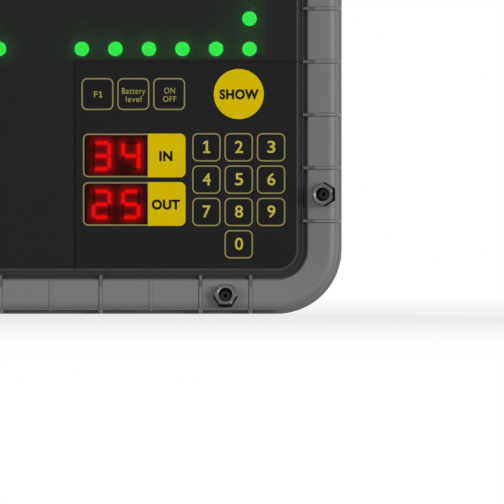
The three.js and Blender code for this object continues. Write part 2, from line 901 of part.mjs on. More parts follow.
function doorKnob() {
  const head = onBack + doorThickness + runningGap;
  const gripTop = head + knobPlateHeight + knobGripHeight;
  const grip = block(
    [-knobRadius + knobGripWidth / 2, knobRadius - knobGripWidth / 2],
    [head + knobPlateHeight / 2, gripTop],
    [knobHeight - knobGripWidth / 2, knobHeight + knobGripWidth / 2],
  );
  const spans = [
    [knobRadius, [head, head + knobPlateHeight]],
    [knobShaftRadius, [onBack, head + knobPlateHeight / 2]],
    [knobCollarRadius, [onBack, onBack + knobCollarThickness]],
  ];
  const rounds = spans.map(([radius, span]) => rod(radius, span, 0, knobHeight, knobSides));
  return geometryOf(joined([...rounds, grip]));
}

function chargeSocket() {
  const mouth = onBack + socketPlateThickness;
  const low = socketHeight - socketPlateHalf;
  const height = capHinge.height + capLugRadius - low;
  const outline = roundedRectangle(2 * socketPlateHalf, height, socketPlateCorner);
  const body = [onBack - socketBodyLength, onBack + socketPlateThickness / 2];
  const bore = [mouth - socketBoreDepth, mouth + overrun];
  const pin = [mouth - socketBoreDepth - overrun, onBack];
  let solid = joined([
    plate(outline, [onBack, mouth], socketX, low + height / 2),
    rod(socketBodyRadius, body, socketX, socketHeight, knobSides),
  ]);
  for (const lug of hingeLugs(capHinge, onBack)) {
    solid = solid.add(lug);
  }
  solid = solid.subtract(solidOf(rod(socketBoreRadius, bore, socketX, socketHeight, knobSides)));
  return geometryOf(solid.add(solidOf(rod(socketPinRadius, pin, socketX, socketHeight, postSides))));
}

function socketCap() {
  const span = [capInner, capInner + capThickness];
  const solid = joined([
    rod(capRadius, span, socketX, socketHeight, knobSides),
    block([socketX - capNeckHalf, socketX + capNeckHalf], span, [socketHeight, capHinge.height]),
  ]);
  return geometryOf(solid.add(hingeBarrel(capHinge)));
}

// Hand grips
function gripScrewPlaces() {
  const reach = gripLength / 2 - gripScrewInset;
  return [-gripX, gripX].flatMap((x) => [-reach, reach].map((z) => [x, gripMiddle + z]));
}

function handGrip(x) {
  const base = onBack;
  const top = base + gripStandOff;
  const end = gripLength / 2;
  const outer = end - gripFootReach;
  const inner = outer - gripLegWidth;
  const innerTop = top - gripBar;
  const half = 2 * quarterTurn;
  const outline = new THREE.Shape();
  outline.moveTo(-end, base);
  outline.lineTo(-end, base + gripFootThickness);
  outline.lineTo(-outer, base + gripFootThickness);
  outline.absarc(gripOuterRadius - outer, top - gripOuterRadius, gripOuterRadius, half, quarterTurn, true);
  outline.absarc(outer - gripOuterRadius, top - gripOuterRadius, gripOuterRadius, quarterTurn, 0, true);
  outline.lineTo(outer, base + gripFootThickness);
  outline.lineTo(end, base + gripFootThickness);
  outline.lineTo(end, base);
  outline.lineTo(inner, base);
  outline.absarc(inner - gripInnerRadius, innerTop - gripInnerRadius, gripInnerRadius, 0, quarterTurn);
  outline.absarc(gripInnerRadius - inner, innerTop - gripInnerRadius, gripInnerRadius, quarterTurn, half);
  outline.lineTo(-inner, base);
  outline.closePath();
  const settings = { depth: gripWidth, bevelEnabled: false, curveSegments: gripCurveSteps };
  const bar = new THREE.ExtrudeGeometry(outline, settings);
  let solid = solidOf(bar.rotateY(-quarterTurn).translate(x + gripWidth / 2, 0, gripMiddle));
  for (const [screwX, z] of gripScrewPlaces()) {
    const span = [base - overrun, base + gripFootThickness + overrun];
    const hole = rod(gripScrewRadius + seam, span, screwX, z, gripScrewSides);
    solid = solid.subtract(solidOf(hole));
  }
  return geometryOf(solid);
}

function gripScrew([x, z]) {
  const head = onBack + gripFootThickness + seam;
  const profile = [
    point(0, head - gripScrewLength),
    point(gripScrewRadius, head - gripScrewLength),
    point(gripScrewRadius, head),
    point(gripScrewHeadRadius, head),
    point(gripScrewHeadRadius, head + gripScrewHeadHeight / 2),
    point(gripScrewHeadRadius / 2, head + gripScrewHeadHeight),
    point(0, head + gripScrewHeadHeight),
  ];
  return new THREE.LatheGeometry(profile, gripScrewSides).translate(x, 0, z);
}

// Studs and nuts, drawn with the seat at zero and the nut's side upwards
function stud() {
  const shoulder = -rimWall - seam + seam / 2;
  const profile = [
    point(0, -studFootDepth),
    point(studFootRadius, -studFootDepth),
    point(studFootRadius, shoulder),
    point(studRadius, shoulder),
    point(studRadius, studTipReach - studChamfer),
    point(studRadius - studChamfer, studTipReach),
    point(0, studTipReach),
  ];
  return new THREE.LatheGeometry(profile, studSides);
}

function lockNut() {
  const cornerReach = nutAcrossFlats / Math.sqrt(3);
  const hexSides = 6;
  const hex = new THREE.CylinderGeometry(cornerReach, cornerReach, nutHeight, hexSides);
  hex.rotateY(quarterTurn).translate(0, seam + nutHeight / 2, 0);
  const top = seam + nutHeight;
  const bore = rod(studRadius + seam, [0, top + overrun], 0, 0, studSides);
  const recess = rod(nutRecessRadius, [top - nutRecessDepth, top + overrun], 0, 0, studSides);
  return geometryOf(solidOf(hex).subtract(solidOf(bore)).subtract(solidOf(recess)));
}

// The assembly
const board = new THREE.Group();

function addPiece(parent, name, geometry, finish) {
  const piece = new THREE.Mesh(geometry, new THREE.MeshStandardMaterial(finish));
  piece.name = name;
  parent.add(piece);
}

addPiece(board, 'front_rim', frontRim(), finishes.rim);
addPiece(board, 'rear_shell', rearShell(), finishes.rim);
addPiece(board, 'panel_gasket', panelGasket(), finishes.gasket);
addPiece(board, 'front_panel', geometryOf(wholePanel().subtract(fieldCorner(fieldSeam))), finishes.panel);
addPiece(board, 'control_plate', controlPlate(), finishes.panel);
for (const key of keys) {
  addPiece(board, key.name, keyCap(key), key.radius ? finishes.showKey : finishes.panel);
}
addPiece(board, 'keypad_board', keypadBoard(), finishes.circuit);
for (const readout of readouts) {
  addPiece(board, `readout_${readout.name}_lens`, readoutLens(readout), finishes.lens);
  addPiece(board, `readout_${readout.name}_module`, readoutModule(readout), finishes.module);
}
addPiece(board, 'display_board_right', displayBoard(ledBoardMiddle), finishes.circuit);
addPiece(board, 'display_board_left', displayBoard(-ledBoardMiddle), finishes.circuit);
addPiece(board, 'main_board', mainBoard(), finishes.circuit);
addPiece(board, 'battery_box', batteryBox(), finishes.rim);
addPiece(board, 'battery_pack', batteryPack(), finishes.battery);
addPiece(board, 'door_hinge_bracket', hingeBracket(), finishes.door);
addPiece(board, 'battery_door', batteryDoor(), finishes.door);
addPiece(board, 'door_knob', doorKnob(), finishes.knob);
addPiece(board, 'charge_socket', chargeSocket(), finishes.knob);
addPiece(board, 'socket_cap', socketCap(), finishes.door);
addPiece(board, 'grip_left', handGrip(-gripX), finishes.grip);
addPiece(board, 'grip_right', handGrip(gripX), finishes.grip);
gripScrewPlaces().forEach((place, index) => {
  addPiece(board, `grip_screw_${index + 1}`, gripScrew(place), finishes.steel);
});

boltPlaces.forEach(([edge, along], index) => {
  const seat = slopePoint(seatInset, 0);
  const side = new THREE.Group();
  side.rotation.y = edges[edge].turn;
  side.position.set(...edges[edge].origin);
  const place = new THREE.Group();
  place.rotation.x = 2 * quarterTurn - rimSlope;
  place.position.set(along, seat.y, seat.x);
  addPiece(place, `stud_${index + 1}`, stud(), finishes.steel);
  addPiece(place, `lock_nut_${index + 1}`, lockNut(), finishes.nut);
  side.add(place);
  board.add(side);
});

export default board;
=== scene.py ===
"""Substitution board: finishes, fine shapes, light and camera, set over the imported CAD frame.

Sizes are in millimetres and turned into metres where a mesh is made. X runs to the right of the
display, Y to the back and Z up, from the middle of the flat edge that the board stands on.
"""

import json
import logging
import math
from collections.abc import Callable
from dataclasses import dataclass
from enum import Enum
from typing import ClassVar

import bmesh
import bpy
from mathutils import Euler, Matrix, Vector

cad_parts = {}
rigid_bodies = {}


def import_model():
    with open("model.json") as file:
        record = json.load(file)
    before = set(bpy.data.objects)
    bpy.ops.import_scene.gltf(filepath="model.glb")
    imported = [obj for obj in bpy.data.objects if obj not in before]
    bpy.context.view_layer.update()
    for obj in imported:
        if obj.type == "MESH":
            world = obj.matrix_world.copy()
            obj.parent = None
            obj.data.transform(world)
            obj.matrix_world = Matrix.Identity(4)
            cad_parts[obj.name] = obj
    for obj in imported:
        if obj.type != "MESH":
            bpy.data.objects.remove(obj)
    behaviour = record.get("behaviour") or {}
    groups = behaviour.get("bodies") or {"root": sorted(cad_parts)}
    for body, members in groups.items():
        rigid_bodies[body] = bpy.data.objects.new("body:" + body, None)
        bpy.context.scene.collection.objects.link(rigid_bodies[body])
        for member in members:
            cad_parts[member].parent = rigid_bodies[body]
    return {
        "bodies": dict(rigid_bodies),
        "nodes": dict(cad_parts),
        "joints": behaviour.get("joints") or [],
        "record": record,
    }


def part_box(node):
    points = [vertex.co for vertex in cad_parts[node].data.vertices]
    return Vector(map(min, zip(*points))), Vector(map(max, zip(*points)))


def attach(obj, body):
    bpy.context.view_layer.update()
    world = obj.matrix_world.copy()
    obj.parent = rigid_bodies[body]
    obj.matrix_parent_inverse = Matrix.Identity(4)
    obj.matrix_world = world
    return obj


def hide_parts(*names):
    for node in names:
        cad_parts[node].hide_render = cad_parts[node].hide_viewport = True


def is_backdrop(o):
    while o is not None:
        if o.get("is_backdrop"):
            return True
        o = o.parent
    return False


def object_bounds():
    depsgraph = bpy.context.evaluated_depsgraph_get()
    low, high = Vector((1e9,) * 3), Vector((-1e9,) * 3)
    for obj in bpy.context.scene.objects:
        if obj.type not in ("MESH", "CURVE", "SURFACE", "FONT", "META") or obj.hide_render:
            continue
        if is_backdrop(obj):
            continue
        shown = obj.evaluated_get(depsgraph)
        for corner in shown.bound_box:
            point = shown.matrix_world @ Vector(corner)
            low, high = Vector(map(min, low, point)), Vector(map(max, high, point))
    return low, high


log = logging.getLogger("substitution_board")

MM = 0.001
QUARTER = math.pi / 2
AXIS = 0.001  # radius of a turned profile where it meets its axis
OVERRUN = 1.0  # how far a cutter passes a face
GAP = 0.3  # between two pieces that meet
SAME_POINT = 1e-7  # metres under which two points become one
MARKS = ("grime", "glow")  # point attributes that the finishes read: painted shade, and the glow of lamps and painted glow
SOCKET = (150.0, 70.0)  # X and Z of the charge socket's axis

Point = tuple[float, float, float]
Flat = tuple[float, float]
Colour = tuple[float, float, float, float]
Stations = list[tuple[Flat, Flat, float]]  # a rib's base, top and painted shade along its length
Tree = bpy.types.NodeTree
Socket = bpy.types.NodeSocket
Mesh = bpy.types.Mesh
Piece = bpy.types.Object


# Colours and finishes

WHITE, SHADED_SHINE = "#FFFFFF", "#0A0A0A"


def linear(colour: str) -> Colour:
    """Turn an sRGB hex colour into linear red, green, blue and alpha."""
    channels = [int(colour[i : i + 2], 16) / 255 for i in (1, 3, 5)]
    curve = [c / 12.92 if c <= 0.04045 else ((c + 0.055) / 1.055) ** 2.4 for c in channels]
    return (*curve, 1.0)


def add_node(tree: Tree, kind: str, links: dict | None = None, **settings) -> bpy.types.Node:
    """Add a shader or geometry node.

    Args:
        tree: the tree that takes the node.
        kind: the node's type name.
        links: input name or number to the output socket or the value that it takes.
        settings: properties of the node itself.

    Returns:
        The new node.
    """
    node = tree.nodes.new(kind)
    for name, value in settings.items():
        setattr(node, name, value)
    for name, source in (links or {}).items():
        if isinstance(source, Socket):
            tree.links.new(source, node.inputs[name])
        else:
            node.inputs[name].default_value = source
    return node


def fresh_tree(owner: bpy.types.Material | bpy.types.World) -> Tree:
    """Clear the nodes of a material or a world, and give its tree."""
    owner.use_nodes = True
    owner.node_tree.nodes.clear()
    return owner.node_tree


class Pattern(Enum):
    """How the colour of a surface varies."""

    SPECKLED = (1.0, 1.0, 1.0)
    BRUSHED = (1.0, 1.0, 0.08)


@dataclass(frozen=True)
class Finish:
    """One surface finish, as a Principled material with a fine procedural texture."""

    name: str
    colour: str
    roughness: float
    ior: float = 1.5
    metallic: float = 0.0
    specular: float = 0.5
    pattern: Pattern = Pattern.SPECKLED
    grain_mm: float = 1.2
    contrast: float = 0.06
    bump_mm: float = 0.02
    # Painted shade: where a piece's attribute marks it, the colour darkens to this share of itself
    # and a metal's shine dims
    grime: float = 0.0
    soiled: float = 0.16
    see_through: float = 0.0
    tint: str = WHITE
    glow: float = 0.0
    glow_colour: str = ""  # its own colour if left out

    # The same for all: the noise's detail and how fast it fades, its values at the darkest and
    # the lightest colour, the shares of the roughness at its two ends, and the relief's strength
    detail: float = 3.0
    fade: float = 0.6
    span: Flat = (0.35, 0.65)
    rough_span: Flat = (0.92, 1.08)
    relief: float = 0.35

    def shaded(self, share: float) -> Colour:
        """Give the finish's colour times a share."""
        return (*(min(1.0, c * share) for c in linear(self.colour)[:3]), 1.0)

    def speckle(self, tree: Tree) -> Socket:
        """Add the noise that varies the surface, stretched as the pattern says.

        Args:
            tree: the material's tree.

        Returns:
            The noise's socket.
        """
        place = add_node(tree, "ShaderNodeTexCoord").outputs["Object"]
        settings = {"Vector": place, "Scale": self.pattern.value}
        mapped = add_node(tree, "ShaderNodeMapping", settings).outputs["Vector"]
        settings = {"Vector": mapped, "Scale": 1 / (self.grain_mm * MM)}
        settings |= {"Detail": self.detail, "Roughness": self.fade}
        return add_node(tree, "ShaderNodeTexNoise", settings).outputs["Fac"]

    def colouring(self, tree: Tree, noise: Socket) -> Socket:
        """Add the colour, a little darker and lighter with the noise, and darkened with painted
        shade where marked.

        Args:
            tree: the material's tree.
            noise: the surface's noise.

        Returns:
            The colour's socket.
        """
        settings = {"Value": noise, "From Min": self.span[0], "From Max": self.span[1]}
        spread = add_node(tree, "ShaderNodeMapRange", settings).outputs["Result"]
        dark, light = (self.shaded(1 + side * self.contrast) for side in (-1, 1))
        settings = {0: spread, 6: dark, 7: light}
        mixed = add_node(tree, "ShaderNodeMix", settings, data_type="RGBA").outputs[2]
        if not self.grime:
            return mixed
        dirt = self.marked(tree, "grime", self.grime)
        settings = {0: dirt, 6: mixed, 7: self.shaded(self.soiled)}
        return add_node(tree, "ShaderNodeMix", settings, data_type="RGBA").outputs[2]

    def marked(self, tree: Tree, attribute: str, most: float) -> Socket:
        """Scale one of the piece's own attributes.

        Args:
            tree: the material's tree.
            attribute: the attribute's name.
            most: what the attribute's full value gives.

        Returns:
            The scaled value's socket.
        """
        mark = add_node(tree, "ShaderNodeAttribute", attribute_name=attribute).outputs["Fac"]
        settings = {0: mark, 1: most}
        return add_node(tree, "ShaderNodeMath", settings, operation="MULTIPLY").outputs[0]

    def shine(self, tree: Tree) -> Socket | Colour:
        """Give the colour of the shine at a flat angle, which painted shade on metal takes away.

        Args:
            tree: the material's tree.

        Returns:
            White, or the socket of a colour that darkens with the painted shade.
        """
        if not (self.metallic and self.grime):
            return linear(WHITE)
        dirt = self.marked(tree, "grime", self.grime)
        settings = {0: dirt, 6: linear(WHITE), 7: linear(SHADED_SHINE)}
        return add_node(tree, "ShaderNodeMix", settings, data_type="RGBA").outputs[2]

    def make(self) -> bpy.types.Material:
        """Build the material.

        Returns:
            The new material.
        """
        material = bpy.data.materials.new(self.name)
        tree = fresh_tree(material)
        noise = self.speckle(tree)
        least, most = (min(1.0, self.roughness * share) for share in self.rough_span)
        settings = {"Value": noise, "To Min": least, "To Max": most}
        rough = add_node(tree, "ShaderNodeMapRange", settings).outputs["Result"]
        settings = {"Height": noise, "Strength": self.relief, "Distance": self.bump_mm * MM}
        normal = add_node(tree, "ShaderNodeBump", settings).outputs["Normal"]
        settings = {
            "Base Color": self.colouring(tree, noise), "Roughness": rough,
            "Metallic": self.metallic, "Specular IOR Level": self.specular,
            "Specular Tint": self.shine(tree), "Normal": normal,
        }
        if not self.metallic:
            settings["IOR"] = self.ior
        if self.glow:
            settings["Emission Color"] = linear(self.glow_colour or self.colour)
            settings["Emission Strength"] = self.marked(tree, "glow", self.glow)
        result = add_node(tree, "ShaderNodeBsdfPrincipled", settings).outputs["BSDF"]
        if self.see_through:
            clear = add_node(tree, "ShaderNodeBsdfTransparent", {"Color": linear(self.tint)})
            settings = {0: self.see_through, 1: result, 2: clear.outputs["BSDF"]}
            result = add_node(tree, "ShaderNodeMixShader", settings).outputs["Shader"]
        add_node(tree, "ShaderNodeOutputMaterial", {"Surface": result})
        return material


class Palette:
    """The board's finishes, each made once."""

    finishes = (
        # Satin grey structural foam: even, soft highlights along the rolled edge, and painted
        # shade at the ribs' feet and inner ends
        Finish(
            "polyurethane_case_moulded_satin_grey", "#6F6F6F", 0.45, grime=0.85, contrast=0.03
        ),
        # Matt black cell rubber: no clear highlight, a shade lighter than the panel
        Finish("epdm_gasket_extruded_matt_black", "#313131", 0.85, specular=0.3, contrast=0.1),
        # Smoked acrylic with a matt coat: nearly black, lets the lamps behind it through
        Finish(
            "acrylic_sheet_cast_smoked_matt", "#242424", 0.5, ior=1.49, specular=0.08,
            contrast=0.02, bump_mm=0.004, see_through=0.14, tint="#D8D8D8",
        ),
        # Sawn edge of the sheet: a fine grey line, paler both as a sawn edge is and as a painted
        # highlight
        Finish("acrylic_edge_sawn_grey", "#565454", 0.6, ior=1.49, contrast=0.05, bump_mm=0.01),
        # Black polycarbonate plate of the key field, the same shade as the sheet beside it
        Finish(
            "polycarbonate_plate_milled_matt_black", "#1C1C1C", 0.5, ior=1.58, specular=0.06,
            contrast=0.02, bump_mm=0.004,
        ),
        # Black silicone key caps: soft, almost without shine
        Finish(
            "silicone_key_moulded_black", "#1C1C1C", 0.55, ior=1.41, specular=0.06, contrast=0.03
        ),
        # Thin prints: dull olive outlines, stronger small words, yellow digits, black letters
        *(
            Finish(name, colour, 0.7, specular=0.05, bump_mm=0.004)
            for name, colour in (
                ("ink_outline_screen_printed_olive", "#8A8358"),
                ("ink_word_screen_printed_olive", "#A39A52"),
                ("ink_digit_screen_printed_yellow", "#BFB148"),
                ("ink_letter_screen_printed_black", "#171400"),
            )
        ),
        # Yellow fields and the round key: a full, flat mustard yellow
        Finish("ink_field_screen_printed_yellow", "#D4B800", 0.7, specular=0.03, contrast=0.02),
        # Red filter window: dark wine red where nothing is lit behind it
        Finish(
            "acrylic_filter_cast_red", "#2A0709", 0.25, ior=1.49, specular=0.12, contrast=0.03,
            bump_mm=0.002, see_through=0.6, tint="#FF4A4A",
        ),
        # Lit strokes of the small digits: bright red bars
        Finish(
            "led_segment_lit_red", "#FF1010", 0.4, glow=1.9, contrast=0.0, glow_colour="#FF1414"
        ),
        # Painted glow round the lit strokes, for the haze in the diffusing resin: red that dies
        # away outwards
        Finish(
            "led_haze_diffused_red", "#2A0808", 0.6, glow=1.15, contrast=0.0, glow_colour="#E01010"
        ),
        # Painted light of the large lamps on their circuit board, which dies away outwards
        Finish("led_spill_on_board_green", "#1E5231", 0.38, glow=2.5, glow_colour="#22E042"),
        Finish("led_spill_on_board_red", "#1E5231", 0.38, glow=2.5, glow_colour="#FF2018"),
        # Unlit strokes: barely paler than the block round them
        Finish("led_segment_unlit_resin", "#4A1C1B", 0.5, contrast=0.02),
        # Black resin block that holds the strokes
        Finish("resin_block_potted_dark_red", "#2A0808", 0.6, contrast=0.05),
        # Large lamps, lit green and red, and the clear grey of the unlit ones
        Finish(
            "led_dome_lit_green", "#30FF50", 0.3, glow=110.0, contrast=0.0, glow_colour="#22E042"
        ),
        Finish("led_dome_lit_red", "#FF2018", 0.3, glow=90.0, contrast=0.0),
        Finish("led_dome_unlit_epoxy", "#6E7472", 0.15, contrast=0.02),
        # Green solder mask with a faint weave
        Finish("solder_mask_printed_green", "#1E5231", 0.38, grain_mm=0.8, contrast=0.12),
        # Shrink film over the cells: blue, glossy, slightly creased
        Finish(
            "pvc_shrink_film_blue", "#2A3D62", 0.25, grain_mm=14.0, contrast=0.08, bump_mm=0.4
        ),
        # Dark grey moulded lids with a fine spark-eroded texture
        Finish(
            "abs_lid_moulded_dark_grey", "#4A4B4C", 0.55, grain_mm=0.7, contrast=0.06, bump_mm=0.03
        ),
        # Black nylon knob and socket: a low sheen
        Finish("nylon_knob_moulded_black", "#1C1C1D", 0.42, ior=1.53, contrast=0.05),
        # Black soft grips: dull and slightly dusty
        Finish(
            "elastomer_grip_moulded_black", "#191919", 0.78, grain_mm=0.9, contrast=0.14,
            bump_mm=0.05,
        ),
        # Blackened steel studs: dark with a dull metal shine
        Finish(
            "steel_stud_rolled_blackened", "#2C2D2E", 0.45, metallic=1.0, pattern=Pattern.BRUSHED,
            grain_mm=0.8, contrast=0.15,
        ),
        # Zinc-plated nuts and screws: mid grey metal; on the nuts, painted shade turns the sides,
        # seat, bore and recess floor black and dulls their shine, and darkens the front less
        Finish(
            "steel_nut_zinc_plated", "#9A9A9A", 0.36, grime=1.0, soiled=0.05, metallic=1.0,
            pattern=Pattern.BRUSHED, grain_mm=0.6, contrast=0.12,
        ),
    )

    def __init__(self) -> None:
        """Make every material."""
        self.made = {finish.name: finish.make() for finish in self.finishes}

    def get(self, word: str) -> bpy.types.Material:
        """Find the one material whose name starts with this word or words."""
        (name,) = [name for name in self.made if name.startswith(word)]
        return self.made[name]


# Shapes in millimetres


def plain_mesh(name: str, points: list, faces: list, marks: dict[str, list[float]]) -> Mesh:
    """Make a mesh with point attributes.

    Args:
        name: the mesh's name.
        points: the points in metres.
        faces: the numbers of each face's points.
        marks: the values of each attribute by its name.

    Returns:
        The new mesh.
    """
    mesh = bpy.data.meshes.new(name)
    mesh.from_pydata(points, [], faces)
    for mark, values in marks.items():
        mesh.attributes.new(mark, "FLOAT", "POINT").data.foreach_set("value", values)
    return mesh


class Form:
    """Points and faces, gathered before they become one piece."""

    def __init__(self) -> None:
        """Start empty."""
        self.points: list[Point] = []
        self.faces: list[tuple[int, ...]] = []
        self.marks: dict[str, list[float]] = {}

    def grid(self, rows: list[list[Point]], around: bool = True, loop: bool = False) -> "Form":
        """Add a sheet of faces between rows of points.

        Args:
            rows: rows of equal length.
            around: whether each row closes on itself.
            loop: whether the last row joins the first; if not, closed rows get end faces.

        Returns:
            This form.
        """
        start, count = len(self.points), len(rows[0])
        for row in rows:
            self.points.extend(row)
        for i in range(len(rows) if loop else len(rows) - 1):
            near, far = start + i * count, start + (i + 1) % len(rows) * count
            for j in range(count if around else count - 1):
                k = (j + 1) % count
                self.faces.append((near + j, near + k, far + k, far + j))
        if around and not loop:
            last = start + (len(rows) - 1) * count
            self.faces.append(tuple(range(start + count - 1, start - 1, -1)))
            self.faces.append(tuple(range(last, last + count)))
        return self

    def block(self, x: Flat, y: Flat, z: Flat) -> "Form":
        """Add a box between two values on each axis."""
        return self.prism([(x[0], z[0]), (x[1], z[0]), (x[1], z[1]), (x[0], z[1])], y)

    def prism(self, outline: list[Flat], depths: Flat) -> "Form":
        """Pull an outline in X and Z along Y."""
        return self.grid([[(x, y, z) for x, z in outline] for y in depths])

    def turned(self, profile: list[Flat], sides: int, x: float = 0.0, z: float = 0.0) -> "Form":
        """Turn a profile of radius and depth about an axis along Y.

        Args:
            profile: radius and Y, from one end to the other.
            sides: faces around.
            x: the axis's X.
            z: the axis's Z.

        Returns:
            This form.
        """
        turns = [2 * math.pi * i / sides for i in range(sides)]
        return self.grid(
            [[(x + r * math.cos(t), y, z + r * math.sin(t)) for t in turns] for r, y in profile]
        )

    def rod(self, radius: float, span: Flat, sides: int, x: float = 0.0, z: float = 0.0) -> "Form":
        """Add a plain round bar between two values of Y."""
        return self.turned([(radius, depth) for depth in span], sides, x, z)

    def moved(self, matrix: Matrix) -> "Form":
        """Move every point by a matrix."""
        self.points = [tuple(matrix @ Vector(p)) for p in self.points]
        return self

    def add(self, other: "Form") -> "Form":
        """Take in another form.

        Args:
            other: the form, with the attributes of its points.

        Returns:
            This form.
        """
        start = len(self.points)
        self.points.extend(other.points)
        self.faces.extend(tuple(start + i for i in face) for face in other.faces)
        for name, values in other.marks.items():
            self.marks.setdefault(name, []).extend(values)
        return self

    def marked(self, name: str, value: float) -> "Form":
        """Give every point the same value of an attribute."""
        self.marks[name] = [value] * len(self.points)
        return self

    def mesh(self, name: str) -> Mesh:
        """Make a mesh in metres with its faces turned outwards.

        Args:
            name: the mesh's name.

        Returns:
            The new mesh.
        """
        points = [tuple(c * MM for c in p) for p in self.points]
        mesh = plain_mesh(name, points, self.faces, self.marks)
        work = bmesh.new()
        work.from_mesh(mesh)
        bmesh.ops.remove_doubles(work, verts=work.verts, dist=SAME_POINT)
        bmesh.ops.recalc_face_normals(work, faces=work.faces)
        work.to_mesh(mesh)
        work.free()
        return mesh


def rounded(
    width: float, height: float, radius: float, steps: int = 8, x: float = 0.0, z: float = 0.0
) -> list[Flat]:
    """List the points of a rounded rectangle.

    Args:
        width: size along X.
        height: size along Z.
        radius: corner radius.
        steps: steps in each corner.
        x: the middle's X.
        z: the middle's Z.

    Returns:
        The outline's points.
    """
    points = []
    for corner, (side_x, side_z) in enumerate([(1, 1), (-1, 1), (-1, -1), (1, -1)]):
        for step in range(steps + 1):
            angle = (corner + step / steps) * QUARTER
            across = side_x * (width / 2 - radius) + radius * math.cos(angle)
            up = side_z * (height / 2 - radius) + radius * math.sin(angle)
            points.append((x + across, z + up))
    return points


def arc(centre: Flat, radius: float, start: float, end: float, steps: int) -> list[Flat]:
    """List the points of an arc about a centre, from one angle to another."""
    turns = [start + (end - start) * i / steps for i in range(steps + 1)]
    return [(centre[0] + radius * math.cos(t), centre[1] + radius * math.sin(t)) for t in turns]


def glowing_sheet(
    x: Flat, z: Flat, depth: float, cell: float, level: Callable[[Vector], float]
) -> Form:
    """Make a flat sheet whose points carry a painted glow by their place.

    Args:
        x: its left and right end.
        z: its lower and upper end.
        depth: its Y.
        cell: the size of its cells.
        level: the glow at an X and Z.

    Returns:
        The sheet, with its glow as a point attribute.
    """
    across, up = (math.ceil((high - low) / cell) for low, high in (x, z))
    rows = [
        [
            (x[0] + (x[1] - x[0]) * i / across, depth, z[0] + (z[1] - z[0]) * j / up)
            for i in range(across + 1)
        ]
        for j in range(up + 1)
    ]
    sheet = Form().grid(rows, around=False)
    sheet.marks["glow"] = [level(Vector((point[0], point[2]))) for point in sheet.points]
    return sheet


# Turning forms into pieces


@dataclass(frozen=True)
class Box:
    """The box round a CAD node, in millimetres."""

    x: Flat
    y: Flat
    z: Flat

    @property
    def sides(self) -> tuple[Flat, Flat, Flat]:
        """The lowest and highest value on each axis."""
        return (self.x, self.y, self.z)

    @property
    def middle(self) -> Point:
        """The box's middle."""
        return tuple((low + high) / 2 for low, high in self.sides)

    @property
    def size(self) -> Point:
        """The box's size on each axis."""
        return tuple(high - low for low, high in self.sides)

    def form(self) -> Form:
        """Make the box as a form."""
        return Form().block(*self.sides)

    def outline(self, inset: float, radius: float, steps: int = 8) -> list[Flat]:
        """List a rounded outline of the box seen from the front, moved in by an inset."""
        (width, _, height), (x, _, z) = self.size, self.middle
        return rounded(width - 2 * inset, height - 2 * inset, radius, steps, x, z)


def in_scene(name: str, data: bpy.types.ID) -> Piece:
    """Make an object from its data and link it to the scene."""
    thing = bpy.data.objects.new(name, data)
    bpy.context.scene.collection.objects.link(thing)
    return thing


def applied(thing: Piece) -> Mesh:
    """Turn an object and its modifiers into a plain mesh."""
    graph = bpy.context.evaluated_depsgraph_get()
    return bpy.data.meshes.new_from_object(thing.evaluated_get(graph))


def discard(thing: Piece) -> None:
    """Remove an object and its mesh."""
    mesh = thing.data
    bpy.data.objects.remove(thing)
    bpy.data.meshes.remove(mesh)


class Cut(Enum):
    """What a cutter does to a piece."""

    AWAY = "DIFFERENCE"
    TO_SHAPE = "INTERSECT"


